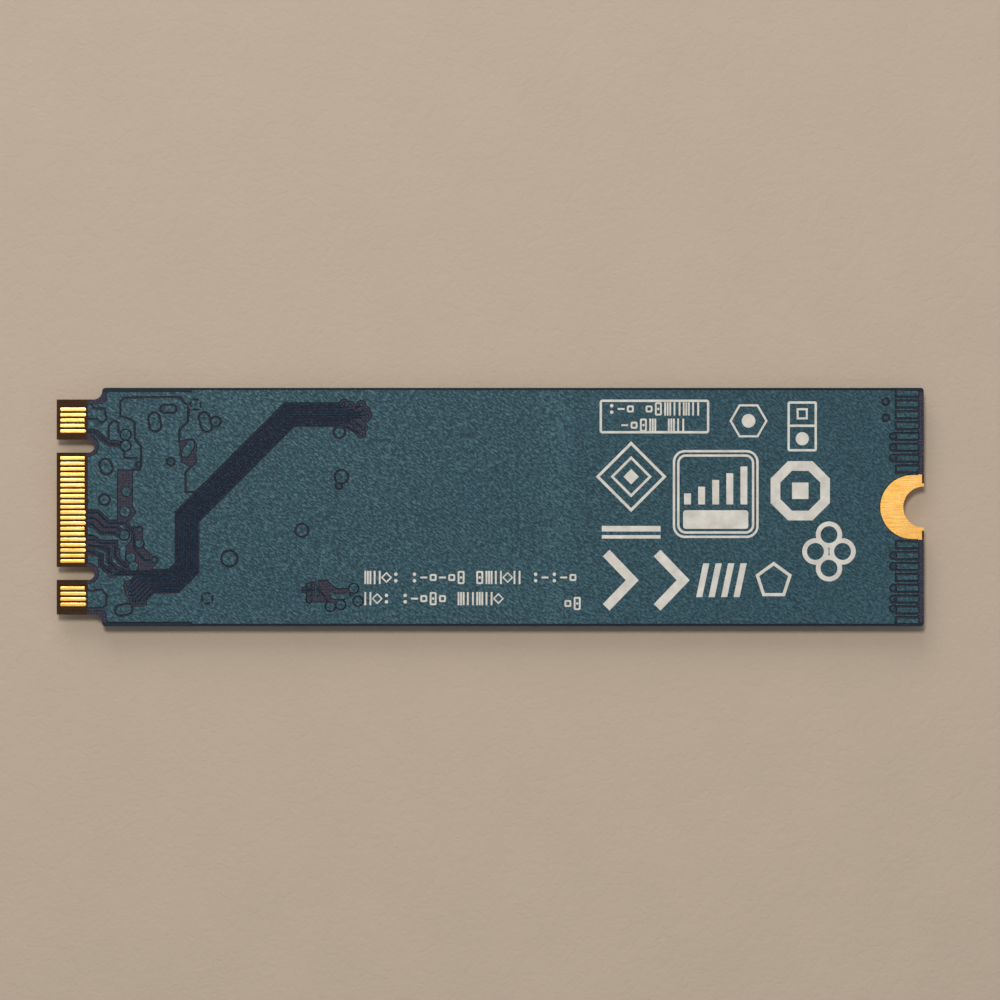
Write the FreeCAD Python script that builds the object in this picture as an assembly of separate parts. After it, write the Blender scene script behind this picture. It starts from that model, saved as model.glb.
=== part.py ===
import FreeCAD, Part
import math
import os

# A bare M.2 2280 solid state drive with two key slots: one printed circuit board with its chips
# and small parts on the front face (down, -Z) and a bare, printed back face (up, +Z).
# Millimetres. Everything is drawn with the connector edge at x = 0 and the board's centre line
# at y = 0. write_nodes() then moves it so that the origin is under the middle of the board.

# --- Board outline ---
board_length = 80.0
board_width = 22.0
shoulder_step = 1.075           # from the board's side in to the tongue's side
tongue_length = 4.2
shoulder_fillet = 0.8
corner_round = 0.3
key_slot_width = 1.2
key_slot_depth = 3.5
key_b_place = 5.625             # slot centre lines, from the board's centre line
key_m_place = -6.125
notch_radius = 1.9              # screw notch, after plating
plating_wall = 0.04
rim_width = 0.25                # plated ring round the notch on each face

# --- Stack, from the label's outer face up to the printed back face ---
label_film = 0.06
label_adhesive = 0.03
package_height = 1.25           # from the front copper to a chip's top
outer_copper = 0.04
inner_copper = 0.03
prepreg_thickness = 0.11
core_thickness = 0.50
mask_thickness = 0.06           # over bare laminate; it levels off the copper
ink_thickness = 0.015

# --- Contacts ---
contact_pitch = 0.5             # on one face; the faces are staggered by half of this
contact_width = 0.35
contact_start = 0.30
contact_end = 2.60
wired_contact_end = 2.74        # contacts that carry on as a trace
contact_nose = 0.12             # rounding of the front corners
contact_margin = 0.30           # bare edge beside the outermost contact
key_clearance = 0.40            # bare edge between a key slot and the next contact
centre_pin = 38                 # the pin number that falls on the centre line
rounded_pins = (2, 4, 70, 72, 74)
pointed_pins = (10, 40, 42, 44, 50, 52, 54)

# --- Outer copper ---
mask_start = 2.78
copper_start = 2.86
edge_clearance = 0.22           # pour held back from the board's sides
connector_clearance = 0.40      # the same near the connector
connector_zone = 12.5
end_clearance = 0.58            # the same at the notch end
trace_width = 0.12
copper_gap = 0.19               # isolation line between two areas of copper
signal_gap = 0.21               # bare strip on each side of a trace
bus_gap = 0.10                  # the same on each side of the bus
land_gap = 0.12                 # the same round a land
drill_radius = 0.125
fine_drill_radius = 0.07
fine_land_radius = 0.15
antipad = 0.16                  # ring of clearance round a barrel in the inner planes
plane_clearance = 0.45
smallest_island = 0.08          # square millimetres; smaller scraps are etched away

# --- Bus of parallel traces on the back ---
bus_count = 9
bus_pitch = 0.23
bus_path = ((25.5, 8.52), (21.47, 8.52), (12.03, -0.92), (12.03, -5.6), (10.79, -6.84), (9.3, -6.84))
bus_straight_end = 5.65         # the first traces run straight on to here instead of turning
bus_straight_count = 2
bus_far_ends = (                # where each trace leaves the bus, then its via
    (26.1, 26.48, 9.53), (26.7, 27.11, 9.35), (27.4, 28.10, 9.41), (27.9, 28.44, 8.95), (28.3, 28.67, 8.43),
    (27.9, 28.35, 8.08), (27.3, 28.27, 7.28), (26.95, 27.52, 7.43), (26.4, 28.1, 6.76),
)
bus_near_turn = 7.45            # where the first turning trace turns towards its via
bus_near_spread = 0.24
bus_near_reaches = (0.85, 1.0, 1.15, 1.2, 1.3, 1.25, 1.0)
bus_near_step = 0.45
fan_clearance = 0.30            # ring of bare laminate round a bus via
spoke_width = 0.24

# --- Screw land ---
land_radius = 3.0
land_centre = 1.07              # inboard of the board's end
land_end = 0.17

# --- Pads along the notch end, covered by the mask ---
comb_pitch = 1.0
comb_first = 3.5
comb_margin = 0.5
comb_pad_length = 1.97
comb_pad_width = 0.46
comb_end = 0.5                  # from the board's end to the pads

# --- Chips on the front ---
controller_size = (11.0, 11.0)
memory_size = (8.0, 12.0)
flash_size = (12.0, 18.0)
substrate_thickness = 0.20
ball_height = 0.25
ball_radius = 0.20
ball_pad_radius = 0.18
chip_chamfer = 0.10
die_thickness = 0.30
flash_die_thickness = 0.10
flash_dies = 4
flash_die_shift = 0.4
power_zone_start = 4.7
power_zone_length = 10.0
end_zone_length = 5.0

# --- Small parts on the front: length, width, height, end cap ---
large_capacitor = (2.0, 1.25, 1.10, 0.45)
small_capacitor = (1.0, 0.5, 0.50, 0.22)
resistor = (1.0, 0.5, 0.35, 0.20)
fuse = (1.6, 0.8, 0.50, 0.30)
seat_gap = 0.03                 # solder under a part
pad_overhang = 0.28             # pad beyond a part's end
solder_rise = 0.6               # solder climbs this share of an end cap
edge_round = 0.05
column_pitch = 1.9              # rows of small parts between the chips
side_margin = 1.6               # from the board's side to the nearest small part's centre
label_margin = 1.4

# --- Levels ---
package_top = label_film + label_adhesive
front_copper_face = package_top + package_height
front_laminate_face = front_copper_face + outer_copper
laminate_thickness = core_thickness + 2 * prepreg_thickness
back_laminate_face = front_laminate_face + laminate_thickness
back_copper_face = back_laminate_face + outer_copper
back_mask_face = back_laminate_face + mask_thickness
front_mask_face = front_laminate_face - mask_thickness
seat_level = front_copper_face - seat_gap

half_width = board_width / 2
tongue_half_width = half_width - shoulder_step
far = 2 * board_length          # beyond any edge, for trimming shapes
tiny = 1e-6

pieces = {}


def keep(node, shapes):
    """Add the solids of some shapes to a named node."""
    solids = [solid for shape in shapes for solid in shape.Solids]
    pieces.setdefault(node, []).extend(solids)


def vector(x, y, z=0.0):
    return FreeCAD.Vector(x, y, z)


# --- Flat outlines ---

def outline(points):
    """A flat face with straight sides."""
    corners = [vector(x, y) for x, y in points]
    return Part.Face(Part.makePolygon(corners + corners[:1]))


def rectangle(x_low, y_low, x_high, y_high):
    return outline(((x_low, y_low), (x_high, y_low), (x_high, y_high), (x_low, y_high)))


def centred_rectangle(x, y, length, width):
    return rectangle(x - length / 2, y - width / 2, x + length / 2, y + width / 2)


def disc(x, y, radius):
    return Part.Face(Part.Wire(Part.makeCircle(radius, vector(x, y))))


def ring(x, y, radius, width):
    """A flat ring, measured to the middle of its width."""
    return disc(x, y, radius + width / 2).cut(disc(x, y, radius - width / 2))


def rounded_corner(before, corner, after, radius):
    """Start, middle and end of the arc that rounds one corner."""
    back = (before - corner).normalize()
    onward = (after - corner).normalize()
    half_angle = back.getAngle(onward) / 2
    reach = radius / math.tan(half_angle)
    inward = (back + onward).normalize()
    middle = corner + inward * (radius / math.sin(half_angle) - radius)
    return corner + back * reach, middle, corner + onward * reach


def rounded_outline(corners):
    """A flat face from (x, y, radius) corners."""
    points = [vector(x, y) for x, y, radius in corners]
    stations = []
    for index, point in enumerate(points):
        radius = corners[index][2]
        if radius < tiny:
            stations.append((point, None, point))
            continue
        after = points[(index + 1) % len(points)]
        stations.append(rounded_corner(points[index - 1], point, after, radius))
    edges = []
    for index, (start, middle, end) in enumerate(stations):
        last_end = stations[index - 1][2]
        if last_end.distanceToPoint(start) > tiny:
            edges.append(Part.makeLine(last_end, start))
        if middle is not None:
            edges.append(Part.Arc(start, middle, end).toShape())
    return Part.Face(Part.Wire(edges))


def rounded_rectangle(x, y, length, width, radius):
    left, right = x - length / 2, x + length / 2
    low, high = y - width / 2, y + width / 2
    return rounded_outline(((left, low, radius), (right, low, radius), (right, high, radius), (left, high, radius)))


def frame_of(x, y, length, width, radius, stroke):
    """A rounded rectangle drawn as a line of even width."""
    inner = rounded_rectangle(x, y, length - 2 * stroke, width - 2 * stroke, max(radius - stroke, stroke / 4))
    return rounded_rectangle(x, y, length, width, radius).cut(inner)


def offset_path(points, distance):
    """A path of straight runs moved sideways, with its corners kept sharp."""
    path = [vector(x, y) for x, y in points]
    normals = []
    for start, end in zip(path, path[1:]):
        run = (end - start).normalize()
        normals.append(vector(-run.y, run.x))
    moved = [path[0] + normals[0] * distance]
    for point, first, second in zip(path[1:], normals, normals[1:]):
        moved.append(point + (first + second) * (distance / (1 + first.dot(second))))
    moved.append(path[-1] + normals[-1] * distance)
    return [(point.x, point.y) for point in moved]


def ribbon(points, width):
    """A path of straight runs drawn as a strip of even width."""
    left = offset_path(points, width / 2)
    right = offset_path(points, -width / 2)
    return outline(left + right[::-1])


def merged(faces):
    """Flat faces joined where they meet, as one face for each separate area."""
    joined = faces[0].multiFuse(faces[1:])
    return Part.makeShell(joined.Faces).removeSplitter()


def large_faces(shape):
    """The faces of a cut shape without its scraps."""
    return [face for face in shape.Faces if face.Area > smallest_island]


def pill(x1, y1, x2, y2, radius):
    """A strip with round ends."""
    strip = ribbon(((x1, y1), (x2, y2)), 2 * radius)
    return merged([strip, disc(x1, y1, radius), disc(x2, y2, radius)])


def level(shape, z_low, z_high):
    """Flat faces raised to a plate between two levels."""
    plates = []
    for face in shape.Faces:
        plate = face.extrude(vector(0, 0, z_high - z_low))
        plate.translate(vector(0, 0, z_low))
        plates.append(plate)
    return plates


def brick(x, y, length, width, z_low, z_high, softened=0.0):
    """A block centred on x, y, with rounded edges if asked."""
    corner = vector(x - length / 2, y - width / 2, z_low)
    block = Part.makeBox(length, width, z_high - z_low, corner)
    if softened < tiny:
        return block
    return block.makeFillet(softened, block.Edges)


# --- Board layers ---

def board_face(inset, notch):
    """The board's outline, drawn in from its edges, with the notch at a radius of its own."""
    side = half_width - inset
    tongue = tongue_half_width - inset
    shoulder = tongue_length + inset
    end = board_length - inset
    inner_round = max(shoulder_fillet - inset, 0.0)
    corners = [
        (inset, -tongue, 0.0),
        (shoulder, -tongue, inner_round),
        (shoulder, -side, corner_round),
        (end, -side, corner_round),
        (end, side, corner_round),
        (shoulder, side, corner_round),
        (shoulder, tongue, inner_round),
        (inset, tongue, 0.0),
    ]
    slot_half = key_slot_width / 2 + inset
    slot_end = key_slot_depth + inset
    for place in (key_b_place, key_m_place):
        corners.append((inset, place + slot_half, 0.0))
        corners.append((slot_end, place + slot_half, slot_half))
        corners.append((slot_end, place - slot_half, slot_half))
        corners.append((inset, place - slot_half, 0.0))
    return rounded_outline(corners).cut(disc(board_length, 0.0, notch))


def screw_land_face():
    """The D-shaped bare land round the screw notch, outside the plated ring."""
    end = board_length - land_end
    inner = board_length - land_centre - land_radius
    face = rounded_outline((
        (inner, -land_radius, land_radius),
        (end, -land_radius, edge_round),
        (end, land_radius, edge_round),
        (inner, land_radius, land_radius),
    ))
    return face.cut(disc(board_length, 0.0, notch_radius + plating_wall + rim_width))


def screw_land_opening():
    """The same land with nothing cut out of it, open to the board's end."""
    inner = board_length - land_centre - land_radius
    return rounded_outline((
        (inner, -land_radius, land_radius),
        (board_length + land_radius, -land_radius, 0.0),
        (board_length + land_radius, land_radius, 0.0),
        (inner, land_radius, land_radius),
    ))


def bus_line(index):
    """The middle of one bus trace between its two fans."""
    step = index - (bus_count - 1) / 2
    return offset_path(bus_path, step * bus_pitch)


def bus_run(index):
    """One bus trace from its far via to its near one."""
    knee_x, far_x, far_y = bus_far_ends[index]
    line = bus_line(index)
    near_y = line[-1][1]
    run = [(far_x, far_y), (knee_x, line[0][1])] + line[1:-1]
    if index < bus_straight_count:
        return run + [(bus_straight_end - bus_near_step * index, near_y)]
    turned = index - bus_straight_count
    turn_x = bus_near_turn + bus_near_spread * turned
    reach = bus_near_reaches[turned]
    return run + [(turn_x, near_y), (turn_x - reach, near_y - reach)]


def fine_vias():
    """The small vias at both ends of every bus trace."""
    return [bus_run(index)[end] for end in (0, -1) for index in range(bus_count)]



# Isolated round lands on the back: x, y and radius of the isolation line.
ringed_vias = (
    (26.09, 6.88, 0.52), (26.28, 2.77, 0.63), (22.63, -2.17, 0.60), (15.94, -4.77, 0.74), (10.52, 4.16, 0.36),
    (4.41, 0.67, 0.50), (14.68, 7.87, 0.46), (9.0, -4.89, 0.30), (7.62, -2.12, 0.28), (7.56, 3.9, 0.26),
)

# Isolated long lands: two ends and radius of the isolation line, with a hole at the first end.
pill_lands = (
    (9.0, 8.15, 9.1, 7.5, 0.54), (9.95, 9.05, 10.7, 9.05, 0.37), (13.6, 8.25, 13.85, 7.4, 0.49),
    (12.35, 5.75, 11.9, 4.95, 0.46), (4.5, 3.88, 4.62, 3.55, 0.56), (5.9, -9.55, 6.5, -9.42, 0.50),
    (26.0, 1.98, 26.06, 1.9, 0.26),
)

# Lands joined to the pour by four spokes: x, y and radius of the broken isolation line.
spoked_vias = ((12.81, 9.43, 0.48), (13.9, -8.45, 0.48))

# Drilled lands that stand in bare laminate: x, y and land radius.
open_vias = (
    (6.36, 6.66, 0.44), (6.36, 5.65, 0.44), (6.43, 1.42, 0.42), (6.31, -0.44, 0.46), (6.24, -2.6, 0.42),
    (7.64, -3.39, 0.37), (6.84, -4.65, 0.42), (7.08, -5.49, 0.42), (25.25, -9.2, 0.40), (26.2, -9.02, 0.40),
    (27.8, -8.69, 0.40), (27.4, -7.53, 0.40),
    (23.3, -7.3, 0.20), (24.0, -7.3, 0.20), (23.3, -8.0, 0.20), (24.0, -8.0, 0.20), (23.3, -8.6, 0.20),
)

# Areas with no copper under the mask.
bare_areas = (
    ((5.59, 3.46), (7.03, 3.46), (7.03, 0.1), (7.35, -0.45), (6.8, -1.28), (5.59, -1.28)),
    ((7.08, -1.7), (7.92, -2.24), (8.0, -3.68), (9.0, -4.65), (9.3, -5.13), (8.6, -6.0), (6.5, -6.0),
     (6.3, -4.9), (6.4, -3.6), (7.0, -2.9)),
    ((2.99, 7.14), (3.59, 7.1), (4.8, 6.23), (5.9, 6.13), (5.9, 5.56), (4.8, 5.56), (3.83, 6.3), (3.59, 6.54),
     (2.99, 6.54)),
    ((2.99, -0.4), (3.83, -0.4), (4.3, -0.95), (3.5, -1.95), (2.99, -1.95)),
    ((2.99, -2.6), (3.5, -2.6), (3.6, -3.2), (3.3, -4.2), (2.99, -4.2)),
    ((11.29, 6.1), (12.2, 6.3), (12.95, 5.7), (12.86, 4.5), (12.98, 4.1), (12.4, 3.65), (11.5, 4.1)),
    ((23.0, -7.0), (24.2, -6.8), (24.9, -6.7), (25.8, -7.5), (26.9, -7.45), (27.3, -8.3), (26.4, -8.6),
     (24.9, -8.75), (23.0, -8.85)),
)

# Isolation lines that part the pour into separate areas.
split_lines = (
    ((6.9, 3.43), (7.68, 3.43), (7.8, 4.4), (7.8, 5.58), (7.2, 6.3), (7.2, 7.75), (6.84, 8.1), (5.88, 8.35),
     (5.88, 9.67), (6.24, 10.08), (11.29, 10.15), (12.13, 9.31), (12.13, 7.87), (11.34, 7.14), (11.29, 5.9)),
    ((12.6, 3.9), (11.89, 3.2), (11.89, 1.37), (13.2, 1.37)),
    ((2.8, 9.55), (3.23, 9.5), (3.35, 9.12), (4.44, 9.07), (4.6, 8.11), (4.19, 7.75), (3.71, 8.11), (2.8, 8.11)),
    ((2.8, -7.65), (3.35, -7.78), (3.7, -7.65), (4.2, -7.65), (4.6, -8.13), (4.6, -9.02), (4.2, -9.34), (2.8, -9.34)),
    ((4.8, 6.1), (4.8, 7.5), (5.28, 7.99), (5.69, 7.75), (5.69, 6.9), (6.2, 6.7)),
    ((6.24, 5.3), (6.24, 4.5), (7.4, 4.5)),
    ((5.2, -3.92), (5.76, -3.92), (5.76, -5.1), (6.4, -5.9)),
)

# Traces on the back that start at a contact: the pin, then the points that follow.
contact_traces = (
    (40, ((3.8, -0.5), (4.75, -1.45), (6.3, -1.45), (7.15, -2.5), (7.15, -3.8), (8.1, -4.89), (9.0, -4.89))),
    (42, ((3.5, -1.0), (4.4, -1.85), (5.5, -1.85), (6.24, -2.6))),
    (44, ((3.2, -1.5), (4.1, -2.35), (5.3, -2.35), (5.8, -2.6), (6.24, -2.6))),
    (50, ((3.5, -3.0), (4.0, -3.3), (5.4, -3.3), (5.4, -4.5), (6.3, -5.49), (7.08, -5.49))),
    (52, ((3.9, -3.6), (4.8, -3.9), (4.8, -5.0), (5.65, -5.92))),
    (54, ((4.1, -4.5), (4.1, -5.4), (5.2, -6.15))),
    (10, ((3.7, 6.85), (4.75, 5.9), (6.36, 5.65))),
)
cluster_trace = ((22.6, -7.65), (24.2, -7.65), (24.7, -8.2), (25.25, -9.2))

# Area of copper left standing inside the cluster near the lower edge.
cluster_island = ((25.2, -7.75), (25.75, -8.05), (26.6, -8.05), (26.95, -7.75), (27.05, -8.4), (26.4, -8.5),
                  (25.3, -8.45))

# Small drilled rings beside the covered pads: x from the board's end, and y.
comb_vias = ((2.8, 6.5), (2.8, 5.5), (2.8, 4.5), (2.8, -4.5), (2.8, -5.5), (2.8, -7.5), (2.8, -8.5),
             (2.8, -9.4), (3.5, 9.7), (3.5, 8.2))
comb_via_radius = 0.30


def on_board(x, y, radius):
    """Whether a round feature lies inside the outer copper's area."""
    return abs(y) + radius < half_width - edge_clearance and x + radius < board_length - end_clearance


def ringed_places():
    places = [place for place in ringed_vias if on_board(*place)]
    for inboard, y in comb_vias:
        if on_board(board_length - inboard, y, comb_via_radius):
            places.append((board_length - inboard, y, comb_via_radius))
    return places


def open_places():
    return [place for place in open_vias if on_board(*place)]


def spoked_places():
    return [place for place in spoked_vias if on_board(*place)]


def pill_places():
    return [place for place in pill_lands if on_board(place[0], place[1], place[4]) and on_board(*place[2:])]


def bore_list():
    """Every drilled hole as x, y and radius."""
    round_lands = ringed_places() + open_places() + spoked_places()
    bores = [(x, y, drill_radius) for x, y, radius in round_lands]
    bores += [(place[0], place[1], drill_radius) for place in pill_places()]
    for x, y in fine_vias():
        if on_board(x, y, fine_land_radius):
            bores.append((x, y, fine_drill_radius))
    return bores


def bore_faces(extra=0.0):
    return [disc(x, y, radius + extra) for x, y, radius in bore_list()]


def make_laminate():
    """Core and two outer layers of glass laminate, with the inner planes let into the outer layers."""
    face = board_face(0.0, notch_radius + plating_wall).cut(bore_faces())
    plane = board_face(plane_clearance, notch_radius + plane_clearance).cut(bore_faces(antipad))
    split_x = power_zone_start + power_zone_length
    front_top = front_laminate_face + prepreg_thickness
    back_bottom = back_laminate_face - prepreg_thickness

    ground = level(plane, back_bottom, back_bottom + inner_copper)
    power_face = plane.cut(rectangle(split_x - copper_gap, -far, split_x + copper_gap, far))
    power = level(power_face, front_top - inner_copper, front_top)

    keep("laminate_core", level(face, front_top, back_bottom))
    keep("inner_ground_plane", ground)
    keep("inner_power_plane", power)
    keep("laminate_back_layer", [level(face, back_bottom, back_laminate_face)[0].cut(ground)])
    keep("laminate_front_layer", [level(face, front_laminate_face, front_top)[0].cut(power)])


def make_barrels():
    """Copper plugs through every drilled hole."""
    for face in bore_faces():
        keep("via_barrels", level(face, front_laminate_face, back_laminate_face))


def make_edge_plating():
    """A plated half tube in the screw notch with a ring on each face."""
    board_side = rectangle(0, -far, board_length, far)
    wall_outer = notch_radius + plating_wall
    bore = disc(board_length, 0, notch_radius)
    wall = disc(board_length, 0, wall_outer).cut(bore).common(board_side)
    rim = disc(board_length, 0, wall_outer + rim_width).cut(bore).common(board_side)
    tube = level(wall, front_copper_face, back_copper_face)[0]
    front_rim = level(rim, front_copper_face, front_laminate_face)[0]
    back_rim = level(rim, back_laminate_face, back_copper_face)[0]
    keep("edge_plating", [tube.multiFuse([front_rim, back_rim]).removeSplitter()])


# --- Contacts ---

def contact_place(pin):
    return (centre_pin - pin) * contact_pitch / 2


def clear_of_keys(y):
    reach = key_slot_width / 2 + key_clearance
    return all(abs(y - place) > reach for place in (key_b_place, key_m_place))


def pins_on_face(parity):
    """Pin numbers of one face that fit on the tongue and miss the key slots."""
    reach = tongue_half_width - contact_margin - contact_width / 2
    most = int(2 * reach / contact_pitch) + 1
    pins = []
    for pin in range(centre_pin - 2 * most, centre_pin + 2 * most):
        y = contact_place(pin)
        if pin % 2 == parity and abs(y) <= reach and clear_of_keys(y):
            pins.append(pin)
    return pins


def contact_face(pin, shaped):
    """One contact, seen from above; wired contacts end in a round or a point."""
    y = contact_place(pin)
    half = contact_width / 2
    if shaped and pin in pointed_pins:
        tail = [(contact_end, y - half, 0.0), (wired_contact_end, y, 0.0), (contact_end, y + half, 0.0)]
    elif shaped and pin in rounded_pins:
        tail = [(wired_contact_end, y - half, half * 0.98), (wired_contact_end, y + half, half * 0.98)]
    else:
        tail = [(contact_end, y - half, edge_round), (contact_end, y + half, edge_round)]
    nose = [(contact_start, y + half, contact_nose), (contact_start, y - half, contact_nose)]
    return rounded_outline(tail + nose)


def make_contacts():
    for pin in pins_on_face(0):
        keep("back_contacts", level(contact_face(pin, True), back_laminate_face, back_copper_face))
    for pin in pins_on_face(1):
        keep("front_contacts", level(contact_face(pin, False), front_copper_face, front_laminate_face))


# --- Copper and mask on the back ---

def copper_area():
    """Where outer copper may lie: inside the edges and behind the contacts."""
    near = board_face(connector_clearance, tiny).common(rectangle(copper_start, -far, connector_zone, far))
    end = board_length - end_clearance
    rest = board_face(edge_clearance, tiny).common(rectangle(connector_zone, -far, end, far))
    return merged([near, rest]).cut(screw_land_opening())


def comb_places():
    """Y of each covered pad along the notch end."""
    places = []
    y = comb_first
    while y + comb_pad_width / 2 < half_width - comb_margin / 2:
        places.extend((y, -y))
        y += comb_pitch
    return places


def comb_pad(y, extra):
    x = board_length - comb_end - comb_pad_length / 2
    return centred_rectangle(x, y, comb_pad_length + 2 * extra, comb_pad_width + 2 * extra)


def spoked_gap(x, y, radius):
    """A round isolation line broken by four spokes."""
    gap = ring(x, y, radius, copper_gap)
    for turn in (45, 135):
        spoke = centred_rectangle(x, y, 4 * radius, spoke_width)
        spoke.rotate(vector(x, y), vector(0, 0, 1), turn)
        gap = gap.cut(spoke)
    return gap


def signal_paths():
    """Points of each trace on the back, apart from the bus."""
    pins = pins_on_face(0)
    paths = [cluster_trace]
    for pin, points in contact_traces:
        if pin in pins:
            paths.append(((wired_contact_end, contact_place(pin)), *points))
    return paths


def back_openings():
    """Everything that is etched out of the back's pour."""
    half_gap = copper_gap / 2
    openings = [outline(points) for points in bare_areas]
    openings += [ribbon(bus_run(index), bus_pitch + 2 * bus_gap) for index in range(bus_count)]
    openings += [disc(x, y, fine_land_radius + fan_clearance) for x, y in fine_vias()]
    openings += [disc(x, y, radius + half_gap) for x, y, radius in ringed_places()]
    openings += [pill(x1, y1, x2, y2, radius + half_gap) for x1, y1, x2, y2, radius in pill_places()]
    openings += [disc(x, y, radius + land_gap) for x, y, radius in open_places()]
    openings += [spoked_gap(*place) for place in spoked_places()]
    openings += [ribbon(path, trace_width + 2 * signal_gap) for path in signal_paths()]
    openings += [ribbon(path, copper_gap) for path in split_lines]
    openings += [comb_pad(y, copper_gap) for y in comb_places()]
    return openings


def make_back_copper():
    """Ground pour, bus, other traces, lands and covered pads on the back face."""
    fine = [disc(x, y, fine_land_radius) for x, y in fine_vias()]
    bus = merged([ribbon(bus_run(index), trace_width) for index in range(bus_count)] + fine)
    lands = [disc(x, y, radius - copper_gap / 2) for x, y, radius in ringed_places()]
    lands += [pill(x1, y1, x2, y2, radius - copper_gap / 2) for x1, y1, x2, y2, radius in pill_places()]
    lands += [disc(x, y, radius) for x, y, radius in open_places()]
    lands.append(outline(cluster_island))

    allowed = board_face(edge_clearance, tiny)
    bus_face = bus.common(allowed)
    land_face = merged(lands).common(allowed).cut(bus_face)
    signal_face = merged([ribbon(path, trace_width) for path in signal_paths()]).common(allowed)
    signal_face = signal_face.cut(merged(bus_face.Faces + land_face.Faces))
    pad_face = merged([comb_pad(y, 0.0) for y in comb_places()]).common(allowed)
    pour = copper_area().cut(merged(back_openings()))
    pour = pour.cut(merged(land_face.Faces + pad_face.Faces))

    low, high = back_laminate_face, back_copper_face
    for node, shape in (("back_ground_pour", pour), ("back_bus_traces", bus_face), ("back_via_lands", land_face),
                        ("back_signal_traces", signal_face), ("back_covered_pads", pad_face)):
        for face in large_faces(shape):
            keep(node, level(face, low, high))
    keep("back_screw_land", level(screw_land_face(), low, high))


def make_back_mask():
    """One sheet of solder mask that fills in round the copper, open at the contacts and the screw land."""
    face = board_face(0.0, notch_radius + plating_wall).common(rectangle(mask_start, -far, far, far))
    sheet = level(face.cut(screw_land_opening()), back_laminate_face, back_mask_face)
    copper = []
    for node in ("back_ground_pour", "back_bus_traces", "back_signal_traces", "back_via_lands", "back_covered_pads"):
        copper += pieces[node]
    keep("back_solder_mask", [plate.cut(copper) for plate in sheet])


# --- Printed marks on the back ---

mark_stroke = 0.20
heavy_stroke = 0.85
glyph_width = 0.62
glyph_height = 1.2
glyph_pitch = 0.86
glyph_stroke = 0.15


def glyph(x, y, kind):
    """One small abstract sign of the kind used to fill a printed row: bars, dots and boxes."""
    middle_x, middle_y = x + glyph_width / 2, y + glyph_height / 2
    post = centred_rectangle(x + glyph_stroke / 2, middle_y, glyph_stroke, glyph_height)
    far_post = centred_rectangle(x + glyph_width - glyph_stroke / 2, middle_y, glyph_stroke, glyph_height)
    middle_post = centred_rectangle(middle_x, middle_y, glyph_stroke, glyph_height)
    kinds = (
        (post, middle_post, far_post),
        (frame_of(middle_x, middle_y, glyph_width, glyph_width, glyph_stroke, glyph_stroke),),
        (disc(middle_x, y + glyph_height * 0.25, glyph_stroke), disc(middle_x, y + glyph_height * 0.75, glyph_stroke)),
        (post, far_post),
        (frame_of(middle_x, middle_y, glyph_width, glyph_height, glyph_stroke, glyph_stroke),
         disc(middle_x, middle_y, glyph_stroke * 0.7)),
        (centred_rectangle(middle_x, middle_y, glyph_width, glyph_stroke),),
        (polygon_ring(middle_x, middle_y, glyph_height * 0.42, 4, glyph_stroke, 0.0),),
    )
    return list(kinds[kind % len(kinds)])


def glyph_row(x, y, count, first, skipped=()):
    """A row of small signs; some places are left empty."""
    signs = []
    for index in range(count):
        if index not in skipped:
            signs += glyph(x + index * glyph_pitch, y, first + index * 3 + index // 4)
    return signs


def polygon_ring(x, y, radius, sides, stroke, turn):
    """A regular polygon drawn as a thick line."""
    def corners(reach):
        step = 2 * math.pi / sides
        return [(x + reach * math.cos(turn + index * step), y + reach * math.sin(turn + index * step))
                for index in range(sides)]
    return outline(corners(radius)).cut(outline(corners(radius - stroke)))


def chevron(x, y, length, height, stroke):
    return ribbon(((x, y + height / 2), (x + length, y), (x, y - height / 2)), stroke)


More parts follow.
